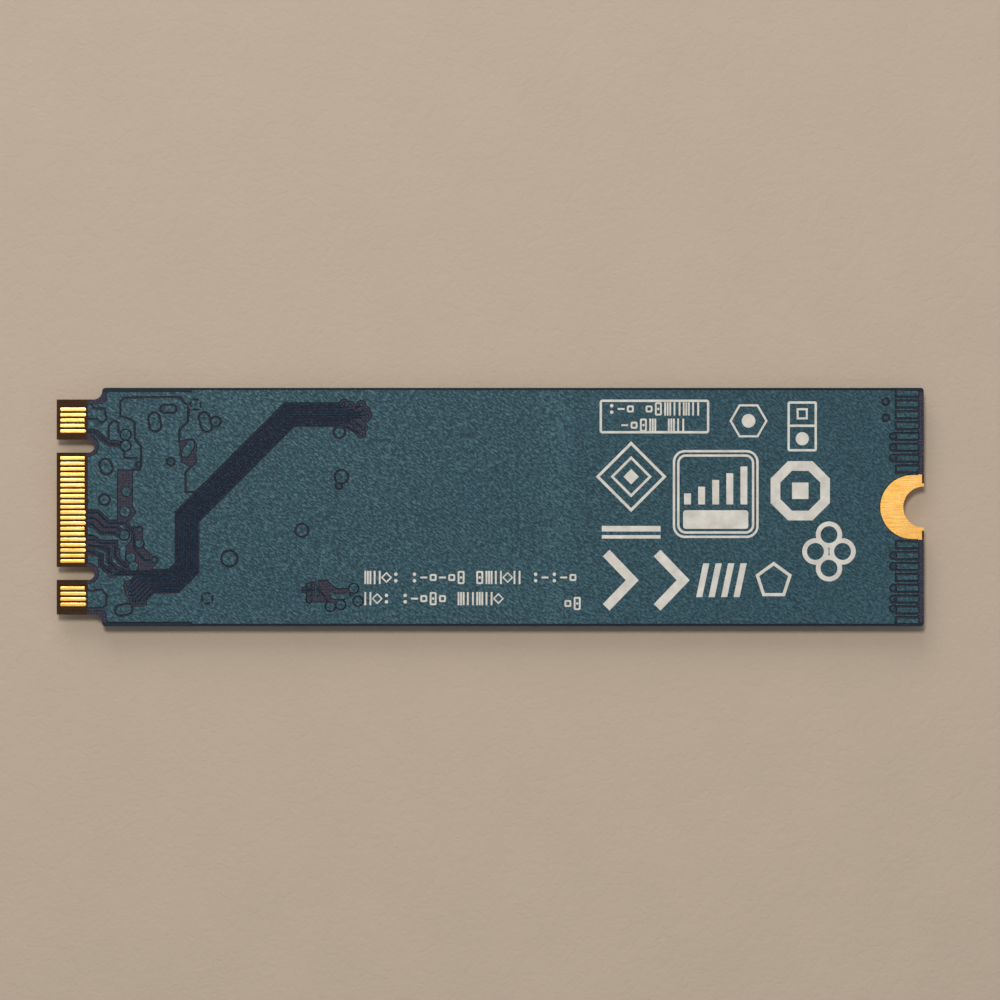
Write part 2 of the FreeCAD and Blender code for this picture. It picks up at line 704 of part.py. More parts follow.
def printed_marks():
    """All printed marks, with x measured back from the board's notch end."""
    end = board_length
    marks = []
    box_x, box_y = end - 24.85, 8.35
    marks.append(frame_of(box_x, box_y, 10.1, 3.1, 0.25, mark_stroke))
    marks += glyph_row(end - 29.1, 8.45, 10, 2, (3,))
    marks += glyph_row(end - 27.9, 6.95, 7, 5, (4,))
    marks.append(polygon_ring(end - 16.17, 7.95, 1.75, 6, mark_stroke, 0.0))
    marks.append(disc(end - 16.17, 7.95, 0.62))
    marks.append(frame_of(end - 11.22, 7.44, 2.7, 4.6, 0.2, mark_stroke))
    marks.append(centred_rectangle(end - 11.22, 7.5, 2.5, mark_stroke))
    marks.append(polygon_ring(end - 11.22, 8.6, 0.72, 4, 0.24, math.pi / 4))
    marks.append(disc(end - 11.22, 6.3, 0.6))
    diamond_x, diamond_y = end - 27.0, 2.8
    marks.append(polygon_ring(diamond_x, diamond_y, 3.25, 4, 0.34, 0.0))
    marks.append(polygon_ring(diamond_x, diamond_y, 1.9, 4, 0.30, 0.0))
    marks.append(outline(((diamond_x - 0.7, diamond_y), (diamond_x, diamond_y - 0.7), (diamond_x + 0.7, diamond_y),
                          (diamond_x, diamond_y + 0.7))))
    marks.append(centred_rectangle(diamond_x, -2.0, 5.4, 0.5))
    marks.append(centred_rectangle(diamond_x, -2.75, 5.4, 0.3))
    panel_x, panel_y = end - 19.2, 1.2
    marks.append(frame_of(panel_x, panel_y, 7.9, 8.1, 1.1, mark_stroke))
    marks.append(frame_of(panel_x, panel_y, 7.1, 7.3, 0.8, mark_stroke))
    marks.append(rounded_rectangle(panel_x, panel_y - 2.35, 6.0, 1.7, 0.25))
    for column in range(5):
        height = 1.0 + 0.62 * column
        marks.append(centred_rectangle(panel_x - 2.6 + 1.3 * column, panel_y - 0.95 + height / 2, 0.62, height))
    marks.append(polygon_ring(end - 11.4, 1.5, 2.95, 8, 0.95, math.pi / 8))
    marks.append(centred_rectangle(end - 11.4, 1.5, 1.5, 1.5))
    marks.append(chevron(end - 29.3, -6.75, 2.4, 5.0, heavy_stroke))
    marks.append(chevron(end - 24.6, -6.75, 2.4, 5.0, heavy_stroke))
    for index in range(4):
        left = end - 21.0 + 1.15 * index
        marks.append(outline(((left, -8.3), (left + 0.55, -8.3), (left + 1.2, -5.2), (left + 0.65, -5.2))))
    marks.append(polygon_ring(end - 13.85, -6.8, 1.75, 5, 0.34, math.pi / 2))
    for across, up in ((0, 1.55), (0, -1.55), (1.25, 0), (-1.25, 0)):
        marks.append(ring(end - 8.75 + across, -4.1 + up, 1.0, 0.42))
    marks += glyph_row(end - 51.6, -7.1, 23, 0, (4, 11, 17))
    marks += glyph_row(end - 51.6, -9.05, 15, 3, (3, 9))
    marks += glyph_row(end - 33.15, -9.5, 2, 1)
    return marks


def make_legend():
    inside = board_face(edge_clearance, tiny).common(rectangle(mask_start, -far, far, far))
    marks = merged(printed_marks()).common(inside).cut(screw_land_opening())
    keep("back_printed_marks", level(marks, back_mask_face, back_mask_face + ink_thickness))


# --- Front face: pads, copper, mask ---

front_pads = []
bare_under_chips = []


def front_pad(x, y, length, width):
    front_pads.append(centred_rectangle(x, y, length, width))


def make_front_copper():
    """Pads, pour and screw land of the front face; the pour keeps clear of every pad."""
    low, high = front_copper_face, front_laminate_face
    for pad in front_pads:
        keep("front_pads", level(pad, low, high))
    openings = list(bare_under_chips)
    for pad in front_pads:
        box = pad.BoundBox
        if box.XLength > 2 * ball_pad_radius + tiny or box.YLength > 2 * ball_pad_radius + tiny:
            openings.append(centred_rectangle(box.Center.x, box.Center.y, box.XLength + 2 * land_gap,
                                              box.YLength + 2 * land_gap))
    pour = copper_area().cut(openings)
    for face in pour.Faces:
        if face.Area > smallest_island:
            keep("front_ground_pour", level(face, low, high))
    keep("front_screw_land", level(screw_land_face(), low, high))


def make_front_mask():
    face = board_face(0.0, notch_radius + plating_wall).common(rectangle(mask_start, -far, far, far))
    face = face.cut(screw_land_opening()).cut(front_pads)
    sheet = level(face, front_mask_face, front_laminate_face)
    keep("front_solder_mask", [plate.cut(pieces["front_ground_pour"]) for plate in sheet])


# --- Chips ---

def ball(x, y):
    """A reflowed solder ball between a pad and a chip's underside."""
    latitude = math.degrees(math.asin(ball_height / 2 / ball_radius))
    centre = vector(x, y, front_copper_face - ball_height / 2)
    return Part.makeSphere(ball_radius, centre, vector(0, 0, 1), -latitude, latitude, 360)


def ball_grid(x, y, columns, rows, pitch, empty):
    """Ball places of a grid, without those that the empty test names."""
    places = []
    for column in range(columns):
        for row in range(rows):
            across = column - (columns - 1) / 2
            up = row - (rows - 1) / 2
            if not empty(abs(across), abs(up)):
                places.append((x + across * pitch, y + up * pitch))
    return places


def make_chip(name, x, y, size, places, dies):
    """A moulded chip on its substrate, with its dies inside and its balls under it."""
    length, width = size
    ball_bottom = front_copper_face - ball_height
    mould_level = ball_bottom - substrate_thickness
    for ball_x, ball_y in places:
        keep(name + "_balls", [ball(ball_x, ball_y)])
        front_pads.append(disc(ball_x, ball_y, ball_pad_radius))
    keep(name + "_substrate", [brick(x, y, length, width, mould_level, ball_bottom)])
    mould = brick(x, y, length, width, package_top, mould_level)
    rim = [edge for edge in mould.Edges if edge.BoundBox.ZMax < package_top + tiny]
    mould = mould.makeChamfer(chip_chamfer, rim)
    keep(name + "_dies", dies)
    keep(name + "_mould", [mould.cut(dies)])
    bare_under_chips.append(centred_rectangle(x, y, length, width))


def chip_places():
    """Middle x of each chip: they share the free length in equal gaps."""
    lengths = [controller_size[0], memory_size[0], flash_size[0], flash_size[0]]
    free = board_length - power_zone_start - power_zone_length - end_zone_length - sum(lengths)
    gap = free / (len(lengths) + 1)
    places = []
    x = power_zone_start + power_zone_length + gap
    for length in lengths:
        places.append(x + length / 2)
        x += length + gap
    return places, gap


def make_chips():
    places, gap = chip_places()
    mould_level = front_copper_face - ball_height - substrate_thickness

    x = places[0]
    grid = ball_grid(x, 0, 13, 13, 0.8, lambda across, up: max(across, up) > 2.5 and max(across, up) < 3.5)
    die = brick(x, 0, 5.2, 4.6, mould_level - die_thickness, mould_level)
    make_chip("controller", x, 0, controller_size, grid, [die])

    x = places[1]
    grid = ball_grid(x, 0, 9, 14, 0.8, lambda across, up: across < 1.5)
    die = brick(x, 0, 5.0, 8.5, mould_level - die_thickness, mould_level)
    make_chip("memory", x, 0, memory_size, grid, [die])

    for name, x in zip(("flash_a", "flash_b"), places[2:]):
        grid = ball_grid(x, 0, 10, 13, 1.0, lambda across, up: across < 1.0 and up < 2.5)
        dies = []
        for index in range(flash_dies):
            top = mould_level - index * flash_die_thickness
            shift = (index - (flash_dies - 1) / 2) * flash_die_shift
            dies.append(brick(x + shift, 0, 8.6, 13.5, top - flash_die_thickness, top))
        make_chip(name, x, 0, flash_size, grid, dies)


# --- Small parts ---

def placed(shape, x, y, turned):
    moved = shape.copy()
    if turned:
        moved.rotate(vector(0, 0), vector(0, 0, 1), 90)
    moved.translate(vector(x, y))
    return moved


def solder_wedge(end, side, width, cap, height):
    """Solder from a pad up an end cap; side is +1 or -1."""
    rise = seat_level - solder_rise * height
    inner = end - side * cap
    outer = end + side * pad_overhang
    profile = ((inner, front_copper_face), (outer, front_copper_face), (end, rise), (end, seat_level),
               (inner, seat_level))
    corners = [vector(x, -width / 2, z) for x, z in profile]
    return Part.Face(Part.makePolygon(corners + corners[:1])).extrude(vector(0, width, 0))


def two_terminal(body_node, cap_node, sizes, x, y, turned):
    """A small block with a metal cap at each end, soldered to two pads."""
    length, width, height, cap = sizes
    low = seat_level - height
    body = brick(0, 0, length - 2 * cap, width * 0.97, low + 0.01, seat_level)
    keep(body_node, [placed(body, x, y, turned)])
    for side in (-1, 1):
        middle = side * (length - cap) / 2
        end = side * length / 2
        terminal = brick(middle, 0, cap, width, low, seat_level)
        outer_edges = [edge for edge in terminal.Edges if abs(edge.BoundBox.Center.x - end) < tiny]
        terminal = terminal.makeFillet(edge_round, outer_edges)
        keep(cap_node, [placed(terminal, x, y, turned)])
        wedge = solder_wedge(end - side * edge_round, side, width - 2 * edge_round, cap - edge_round, height)
        keep("solder_fillets", [placed(wedge.cut(terminal), x, y, turned)])
        pad_length = cap + pad_overhang
        pad_middle = end + side * (pad_overhang - cap) / 2
        pad = placed(centred_rectangle(pad_middle, 0, pad_length, width), x, y, turned)
        front_pads.append(pad)


def make_small_parts():
    """Columns of small parts between the chips, and the power section's own."""
    places, gap = chip_places()
    reach = half_width - side_margin
    count = int(reach / column_pitch)
    left = power_zone_start + power_zone_length
    lengths = [controller_size[0], memory_size[0], flash_size[0]]
    columns = [left + gap / 2] + [x + length / 2 + gap / 2 for x, length in zip(places, lengths)]
    for number, x in enumerate(columns):
        for row in range(-count, count + 1):
            y = row * column_pitch
            if (row + number) % 3 == 0:
                two_terminal("resistor_bodies", "resistor_caps", resistor, x, y, True)
            else:
                two_terminal("small_capacitor_bodies", "small_capacitor_caps", small_capacitor, x, y, True)
    for side in (-1, 1):
        for x in (places[0] - 3.2, places[0] - 1.0, places[1] - 2.2, places[1], places[1] + 2.2):
            if side < 0 or x > places[0]:
                two_terminal("small_capacitor_bodies", "small_capacitor_caps", small_capacitor, x, side * 7.9, False)
        two_terminal("large_capacitor_bodies", "large_capacitor_caps", large_capacitor,
                     board_length - end_zone_length + 0.9, side * 6.6, True)
    for x, y in ((6.6, 5.2), (6.6, -3.2), (13.1, 0.0), (13.1, 8.1), (13.1, -8.1)):
        two_terminal("large_capacitor_bodies", "large_capacitor_caps", large_capacitor, x, y, True)
    for x, y in ((6.0, 1.6), (6.0, 0.6), (6.0, -0.4), (6.0, -1.4), (7.6, 2.9)):
        two_terminal("small_capacitor_bodies", "small_capacitor_caps", small_capacitor, x, y, False)
    two_terminal("fuse_body", "fuse_caps", fuse, 6.6, 8.1, True)


power_chip_size = 4.0
power_chip_height = 0.80
lead_thickness = 0.15
power_chip_place = (10.0, 0.0)
power_chip_leads_per_side = 6


def make_power_chip():
    """A flat leadless regulator with leads along its four sides and a heat pad under it."""
    x, y = power_chip_place
    lead_level = seat_level - lead_thickness
    half = power_chip_size / 2
    body = brick(x, y, power_chip_size, power_chip_size, seat_level - power_chip_height, lead_level)
    rim = [edge for edge in body.Edges if edge.BoundBox.ZMax < seat_level - power_chip_height + tiny]
    keep("power_chip_body", [body.makeChamfer(edge_round, rim)])
    keep("power_chip_leads", [brick(x, y, 2.4, 2.4, lead_level, seat_level)])
    front_pad(x, y, 2.4, 2.4)
    for side in (-1, 1):
        for index in range(power_chip_leads_per_side):
            along = (index - (power_chip_leads_per_side - 1) / 2) * 0.5
            for turned in (False, True):
                lead = brick(side * (half - 0.2), along, 0.4, 0.24, lead_level, seat_level)
                keep("power_chip_leads", [placed(lead, x, y, turned)])
                pad = centred_rectangle(side * half, along, 0.8, 0.24)
                front_pads.append(placed(pad, x, y, turned))


inductor_length = 2.5
inductor_width = 2.0
inductor_height = 1.15
inductor_places = ((10.0, 5.0), (10.0, -5.0), (10.0, 8.2))


def make_inductors():
    """Moulded power inductors: a core round a ring of winding, clipped by two terminals."""
    low = seat_level - inductor_height
    clip = 0.12
    for x, y in inductor_places:
        middle = (low + seat_level) / 2
        core = brick(x, y, inductor_length - 2 * clip, inductor_width, low, seat_level - clip, edge_round)
        winding = Part.makeTorus(0.55, 0.22, vector(x, y, middle))
        keep("inductor_windings", [winding])
        keep("inductor_cores", [core.cut(winding)])
        for side in (-1, 1):
            end = x + side * (inductor_length - clip) / 2
            wall = brick(end, y, clip, inductor_width * 0.7, low + 0.25, seat_level)
            foot = brick(end - side * 0.35, y, 0.7, inductor_width * 0.7, seat_level - clip, seat_level)
            keep("inductor_terminals", [wall.fuse(foot).removeSplitter()])
            front_pad(end - side * 0.25, y, 0.9, inductor_width * 0.75)


def make_crystal():
    """A ceramic base with four pads and a welded metal lid, beside the controller."""
    places, gap = chip_places()
    x, y = places[0] - 2.2, 7.5
    keep("crystal_base", [brick(x, y, 2.5, 2.0, seat_level - 0.35, seat_level)])
    keep("crystal_lid", [brick(x, y, 2.2, 1.7, seat_level - 0.60, seat_level - 0.35, edge_round)])
    for across in (-0.85, 0.85):
        for up in (-0.65, 0.65):
            front_pad(x + across, y + up, 0.8, 0.6)


def gull_lead(side, along, body_half, width):
    """A bent lead from a body's side down to the board."""
    thick = 0.13
    knee = seat_level - 0.42
    reach = body_half + 0.62
    path = ((body_half - 0.1, knee), (body_half + 0.22, knee), (body_half + 0.32, seat_level - thick / 2),
            (reach, seat_level - thick / 2))
    left = offset_path(path, thick / 2)
    right = offset_path(path, -thick / 2)
    corners = [vector(side * x, along - width / 2, z) for x, z in left + right[::-1]]
    return Part.Face(Part.makePolygon(corners + corners[:1])).extrude(vector(0, width, 0))


def make_load_switch():
    """A small switch chip with three leads on one side and two on the other."""
    x, y = 6.6, -7.9
    body = brick(x, y, 1.6, 2.9, seat_level - 1.0, seat_level - 0.06, edge_round)
    leads = []
    for side, rows in ((-1, (-0.95, 0.0, 0.95)), (1, (-0.95, 0.95))):
        for row in rows:
            lead = placed(gull_lead(side, row, 0.8, 0.4), x, y, False)
            leads.append(lead.cut(body))
            front_pad(x + side * 1.2, y + row, 0.6, 0.5)
    keep("load_switch_body", [body])
    keep("load_switch_leads", leads)


# --- Label ---

def make_label():
    """A film label and its adhesive, laid over the tops of the four chips."""
    places, gap = chip_places()
    start = places[0] - controller_size[0] / 2
    end = places[-1] + flash_size[0] / 2
    width = board_width - 2 * label_margin
    face = rounded_rectangle((start + end) / 2, 0, end - start, width, 0.6)
    keep("label_film", level(face, 0.0, label_film))
    keep("label_adhesive", level(face, label_film, package_top))


def write_nodes():
    """Write each node to its own file, moved to the part's own origin."""
    os.makedirs("parts", exist_ok=True)
    for node, solids in pieces.items():
        group = Part.makeCompound(solids)
        group.translate(vector(-board_length / 2, 0))
        group.exportStep("parts/" + node + ".step")


make_laminate()
make_barrels()
make_edge_plating()
make_contacts()
make_back_copper()
make_back_mask()
make_legend()
make_chips()
make_small_parts()
make_power_chip()
make_inductors()
make_crystal()
make_load_switch()
make_front_copper()
make_front_mask()
make_label()
write_nodes()
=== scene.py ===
import math
import random

import bmesh
import bpy
from bpy.props import FloatProperty, FloatVectorProperty, PointerProperty
from bpy.types import Operator, Panel, PropertyGroup
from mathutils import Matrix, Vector


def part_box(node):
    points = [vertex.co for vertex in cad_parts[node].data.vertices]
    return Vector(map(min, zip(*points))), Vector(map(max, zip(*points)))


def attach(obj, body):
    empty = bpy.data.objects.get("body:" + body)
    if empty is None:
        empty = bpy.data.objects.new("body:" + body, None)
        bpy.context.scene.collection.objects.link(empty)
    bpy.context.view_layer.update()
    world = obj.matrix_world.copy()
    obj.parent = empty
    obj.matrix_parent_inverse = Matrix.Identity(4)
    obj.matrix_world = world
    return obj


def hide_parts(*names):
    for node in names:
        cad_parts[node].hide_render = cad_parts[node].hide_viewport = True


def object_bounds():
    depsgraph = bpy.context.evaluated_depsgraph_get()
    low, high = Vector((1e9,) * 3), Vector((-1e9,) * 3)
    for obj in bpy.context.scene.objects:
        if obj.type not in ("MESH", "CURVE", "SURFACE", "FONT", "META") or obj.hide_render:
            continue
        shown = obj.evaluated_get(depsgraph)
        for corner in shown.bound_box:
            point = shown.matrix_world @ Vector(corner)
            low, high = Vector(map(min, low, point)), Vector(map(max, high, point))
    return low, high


bl_info = {
    "name": "Solid State Drive Finish",
    "version": (1, 0, 0),
    "blender": (4, 5, 0),
    "location": "3D View > Sidebar > Drive",
    "description": "Finishes a bare memory board: mask relief, contacts, print, parts and label",
    "category": "Object",
}

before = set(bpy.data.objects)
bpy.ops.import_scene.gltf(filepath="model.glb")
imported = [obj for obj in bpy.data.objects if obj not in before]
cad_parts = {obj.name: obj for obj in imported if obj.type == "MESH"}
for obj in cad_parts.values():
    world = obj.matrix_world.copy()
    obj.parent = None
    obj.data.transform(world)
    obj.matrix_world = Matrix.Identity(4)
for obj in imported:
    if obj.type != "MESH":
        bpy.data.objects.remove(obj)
cad_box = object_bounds()

MM = 0.001
UP = 1
DOWN = -1
WELD = 1e-8                     # corners closer than this are one corner
LEVEL = 1e-7                    # a face counts as being at a height within this
FLAT = 0.99                     # least upright part of a flat face's normal
CORNER_ANGLE = math.radians(30)
SEED = 11
ROUND_STEPS = 2                 # faces in each quarter of a rounded edge

# Places and sizes of surface effects, in millimetres from the board's middle.
SHEEN_BAND_PLACE = 6.0                 # middle of the painted band of sheen, along the board
SHEEN_BAND_REACH = 2.2
GLINTS_STRONG_END = -12.0                # the painted glints on the mask are strongest up to here, along the board
GLINTS_WEAK_END = 30.0                # and weakest from here on
RIM_INNER = 0.5                 # from the board's side in to where its dark rim starts
RIM_OUTER = 0.3
SCRATCHES = (((-15.2, -2.7), (-16.3, -8.8)), ((-2.4, -3.2), (-1.5, -3.8)), ((6.2, 8.6), (7.4, 4.1)),
             ((5.4, 3.0), (6.1, -2.4)), ((-20.8, 5.2), (-19.9, 3.9)))
SCRATCH_STEPS = 40
LABEL_BAND = 9.0
LABEL_RULE = 0.3
LABEL_BLOCK = 4.0
LABEL_RULES = (-0.75, -0.6, 0.45, 0.6, 0.75)    # share of the way from the middle to a side
BLOCK_SHARE = 0.6               # how much of its space a printed block fills

# Where the painted shade on the mask's slope is darkest and where the mask has its full colour, as
# shares of the slope's height.
SLOPE_FOOT = 0.78
SLOPE_BROW = 0.985

LENS = 200.0                    # focal length in millimetres
KEY_PLACE = (-0.04, 0.16, 0.60)
KEY_SIZE = 0.09
FILL_PLACE = (-0.10, 0.42, 0.28)
FILL_SIZE = 0.35

CHIPS = ("controller", "memory", "flash_a", "flash_b")

# Copper that the mask rises over, and whether it is as narrow as a trace.
BACK_RAISED = (("back_ground_pour", False), ("back_bus_traces", True), ("back_signal_traces", True),
               ("back_via_lands", False), ("back_covered_pads", False))
FRONT_RAISED = (("front_ground_pour", False),)


def length(name, default, description):
    """A length that can be changed in the panel."""
    return FloatProperty(name=name, default=default, min=0.0, precision=6, unit="LENGTH",
                         subtype="DISTANCE", description=description)


def colour(name, default, description):
    """A colour that can be changed in the panel."""
    return FloatVectorProperty(name=name, default=default, size=3, min=0.0, max=1.0,
                               subtype="COLOR", description=description)


class DriveSizes(PropertyGroup):
    """Lengths of the finish that the board's own parts don't fix."""

    mask_low: length("Mask Over Laminate", 0.026 * MM,
                     "Thickness of the mask where no copper lies under it")
    pour_lap: length("Pour Lap", 0.065 * MM, "How far the mask laps past the edge of the pour")
    trace_lap: length("Trace Lap", 0.036 * MM, "How far the mask laps past the edge of a trace")
    pour_round: length("Pour Rounding", 0.13 * MM,
                       "Width of the slope where the mask runs down off the pour")
    trace_round: length("Trace Rounding", 0.045 * MM, "Width of the slope beside a trace")
    contact_round: length("Contact Rounding", 0.08 * MM, "Rounding of a contact's edges")
    ink_round: length("Ink Rounding", 0.02 * MM, "Rounding of the printed marks")
    chip_edge: length("Chip Edge", 0.05 * MM, "Rounding of a chip's moulded edges")
    part_edge: length("Part Edge", 0.04 * MM, "Rounding of the small parts' edges")
    core_edge: length("Core Edge", 0.10 * MM, "Rounding of the inductor cores")
    label_sag: length("Label Sag", 0.05 * MM, "How far the label sinks between the chips")
    label_reach: length("Label Reach", 0.9 * MM, "How far the label takes to sink beside a chip")
    label_cell: length("Label Cell", 0.4 * MM, "Spacing of the label's mesh")
    via_growth: length("Via Rim", 0.03 * MM,
                       "How far the rim in the mask spreads past a hole's plating")
    via_rise: length("Via Rise", 0.003 * MM, "How far that rim stands up")
    scratch_width: length("Scratch Width", 0.045 * MM, "Width of a hairline scratch")
    scratch_rise: length("Scratch Rise", 0.002 * MM, "Height of the burr along a scratch")


class DriveColours(PropertyGroup):
    """Colours of the finish."""

    mask_high: colour("Mask Over Copper", (0.021, 0.089, 0.121),
                      "Solder mask where copper lies under it")
    # Paler patches of the mask, and also the colour of its painted sheen band and glints.
    mask_pale_and_sheen: colour("Mask Pale And Sheen", (0.088, 0.200, 0.232), "Lighter patches of the solder mask")
    # Painted shade where the mask runs down off the copper.
    mask_edge_shade: colour("Mask Edge Shade", (0.002, 0.005, 0.010),
                      "Solder mask where it runs down off the copper")
    mask_deep: colour("Mask Over Laminate", (0.040, 0.037, 0.058), "Solder mask over bare laminate")
    mask_rim: colour("Mask Rim", (0.010, 0.021, 0.034), "Solder mask along the board's long sides")
    mask_trace: colour("Mask Over Traces", (0.003, 0.021, 0.048), "Solder mask over the fine traces")
    gold: colour("Gold", (0.88, 0.43, 0.085), "Plating of the contacts")
    gold_worn: colour("Worn Gold", (0.93, 0.57, 0.19), "Where the plating is rubbed bright")
    laminate: colour("Laminate", (0.054, 0.022, 0.005), "Bare glass and resin at the connector")
    laminate_glass: colour("Laminate Glass", (0.080, 0.040, 0.014), "Glass threads in the laminate")
    ink: colour("Print", (0.80, 0.76, 0.67), "Printed marks")
    mould: colour("Chip Mould", (0.016, 0.016, 0.018), "Moulded chip bodies")
    substrate: colour("Chip Substrate", (0.020, 0.075, 0.035), "Edges of the chips' own small boards")
    solder: colour("Solder", (0.62, 0.63, 0.65), "Solder joints and balls")
    tin: colour("Tinned Metal", (0.66, 0.65, 0.62), "End caps and leads")
    ceramic: colour("Brown Ceramic", (0.34, 0.205, 0.105), "Capacitor bodies")
    ceramic_pale: colour("Pale Ceramic", (0.70, 0.66, 0.58), "Resistor edges and the crystal's base")
    ceramic_dark: colour("Dark Ceramic", (0.025, 0.026, 0.030), "Resistor and fuse tops")
    core: colour("Inductor Core", (0.055, 0.053, 0.052), "Pressed ferrite cores")
    winding: colour("Winding", (0.42, 0.16, 0.05), "Enamelled copper wire")
    lid: colour("Crystal Lid", (0.60, 0.58, 0.54), "Nickel lid of the crystal")
    silicon: colour("Silicon", (0.10, 0.11, 0.13), "Dies inside the chips")
    copper: colour("Copper", (0.72, 0.34, 0.20), "Bare copper inside the board")
    label_paper: colour("Label Face", (0.80, 0.80, 0.78), "Printed face of the label")
    label_band: colour("Label Band", (0.045, 0.16, 0.26), "Broad band printed on the label")
    label_rule: colour("Label Rule", (0.20, 0.22, 0.24), "Fine rules printed on the label")
    label_glue: colour("Label Glue", (0.50, 0.48, 0.42), "Adhesive behind the label")
    floor: colour("Floor", (0.56, 0.45, 0.34), "Floor under the drive")
    sky: colour("Room Light", (0.90, 0.93, 1.0), "Soft light from all round")
    key_light: colour("Key Light", (1.0, 0.97, 0.93), "Light from nearly overhead")
    fill_light: colour("Fill Light", (0.96, 0.98, 1.0), "Broad light from the far side")
    dust: colour("Dust", (0.32, 0.36, 0.36), "Specks of dust on the mask")


class DriveStage(PropertyGroup):
    """Camera and light."""

    view_width: length("View Width", 92.25 * MM, "Width of the scene that the camera takes in")
    view_right: length("View Right", 0.90 * MM,
                       "How far right of the board's middle the camera stands")
    view_up: length("View Up", 0.65 * MM, "How far above the board's middle the camera stands")
    floor_size: length("Floor Size", 3.0, "Side of the floor")
    floor_gap: length("Floor Gap", 0.02 * MM, "Gap between the floor and the label")
    key_power: FloatProperty(name="Key Light", default=1.75, min=0.0, subtype="POWER",
                             description="Power of the soft light nearly overhead")
    fill_power: FloatProperty(name="Fill Light", default=1.0, min=0.0, subtype="POWER",
                              description="Power of the broad light from the far side")
    room_strength: FloatProperty(name="Room Strength", default=0.44, min=0.0,
                                 description="Strength of the light from all round")


# --- Meshes ---

def flat_outlines(node, side):
    """Closed outlines of a CAD node's flat faces at its top (UP) or bottom (DOWN), metal on the left."""
    mesh = bmesh.new()
    mesh.from_mesh(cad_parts[node].data)
    bmesh.ops.remove_doubles(mesh, verts=mesh.verts, dist=WELD)
    height = max(vertex.co.z * side for vertex in mesh.verts)
    # A dict keeps the faces in their order, so the outlines come out the same each run.
    inside = dict.fromkeys(face for face in mesh.faces
                           if all(abs(vertex.co.z * side - height) < LEVEL for vertex in face.verts))
    following = {}
    for face in inside:
        for loop in face.loops:
            if not any(other in inside for other in loop.edge.link_faces if other is not face):
                following[loop.vert] = loop.link_loop_next.vert
    outlines = []
    while following:
        start, vertex = following.popitem()
        points = [start.co.xy.copy()]
        while vertex is not start:
            points.append(vertex.co.xy.copy())
            vertex = following.pop(vertex)
        outlines.append(points if side == UP else points[::-1])
    mesh.free()
    return outlines


def finish_mesh(name, mesh, material):
    """An object that rides on the board, with its material."""
    piece = bpy.data.objects.new(name, mesh)
    bpy.context.scene.collection.objects.link(piece)
    mesh.materials.clear()
    mesh.materials.append(material)
    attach(piece, "root")
    return piece


def shade_round_edges(mesh):
    """Flat faces stay flat and the slopes between them are shaded smooth."""
    for polygon in mesh.polygons:
        polygon.use_smooth = abs(polygon.normal.z) < FLAT


def rounded_sheet(name, outlines, low, high, rounding, growth=0.0):
    """A sheet between two heights, cut to the outlines, with rounded edges."""
    curve = bpy.data.curves.new(name, "CURVE")
    curve.dimensions = "2D"
    curve.fill_mode = "BOTH"
    curve.bevel_depth = rounding
    curve.bevel_resolution = ROUND_STEPS
    curve.offset = growth - rounding
    for points in outlines:
        spline = curve.splines.new("POLY")
        spline.points.add(len(points) - 1)
        for target, point in zip(spline.points, points):
            target.co = (point.x, point.y, 0.0, 1.0)
        spline.use_cyclic_u = True
    holder = bpy.data.objects.new(name, curve)
    mesh = bpy.data.meshes.new_from_object(holder)
    bpy.data.objects.remove(holder)
    bpy.data.curves.remove(curve)
    stretch = (high - low) / (2 * rounding)
    for vertex in mesh.vertices:
        vertex.co.z = (low + high) / 2 + vertex.co.z * stretch
    solid = bmesh.new()
    solid.from_mesh(mesh)
    bmesh.ops.remove_doubles(solid, verts=solid.verts, dist=WELD)
    solid.to_mesh(mesh)
    solid.free()
    mesh.name = name
    shade_round_edges(mesh)
    return mesh


def softened_copy(node, width):
    """A CAD node's mesh with its sharp edges rounded."""
    solid = bmesh.new()
    solid.from_mesh(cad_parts[node].data)
    bmesh.ops.remove_doubles(solid, verts=solid.verts, dist=WELD)
    bmesh.ops.dissolve_limit(solid, angle_limit=math.radians(1), verts=solid.verts, edges=solid.edges)
    sharp = [edge for edge in solid.edges
             if len(edge.link_faces) == 2 and edge.calc_face_angle() > CORNER_ANGLE]
    rounded = bmesh.ops.bevel(solid, geom=sharp, offset=width, segments=ROUND_STEPS, profile=0.5,
                              affect="EDGES", clamp_overlap=True)
    for face in solid.faces:
        face.smooth = False
    for face in rounded["faces"]:
        face.smooth = True
    mesh = bpy.data.meshes.new(node + "_finish")
    solid.to_mesh(mesh)
    solid.free()
    return mesh


def soften(node, width, material):
    """Puts a rounded copy of a CAD node in its place."""
    piece = finish_mesh(node + "_finish", softened_copy(node, width), material)
    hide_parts(node)
    return piece


def coat(material, *nodes):
    """Gives CAD nodes that keep their shape a new material."""
    for node in nodes:
        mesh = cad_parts[node].data
        mesh.materials.clear()
        mesh.materials.append(material)


def level_of(node, side):
    """Height of a CAD node's top (UP) or bottom (DOWN)."""
    low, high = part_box(node)
    return high.z if side == UP else low.z


def distance_to_boxes(x, y, boxes):
    """How far a place is, seen from above, from the nearest of the boxes."""
    return min(math.hypot(max(low.x - x, 0.0, x - high.x), max(low.y - y, 0.0, y - high.y))
               for low, high in boxes)


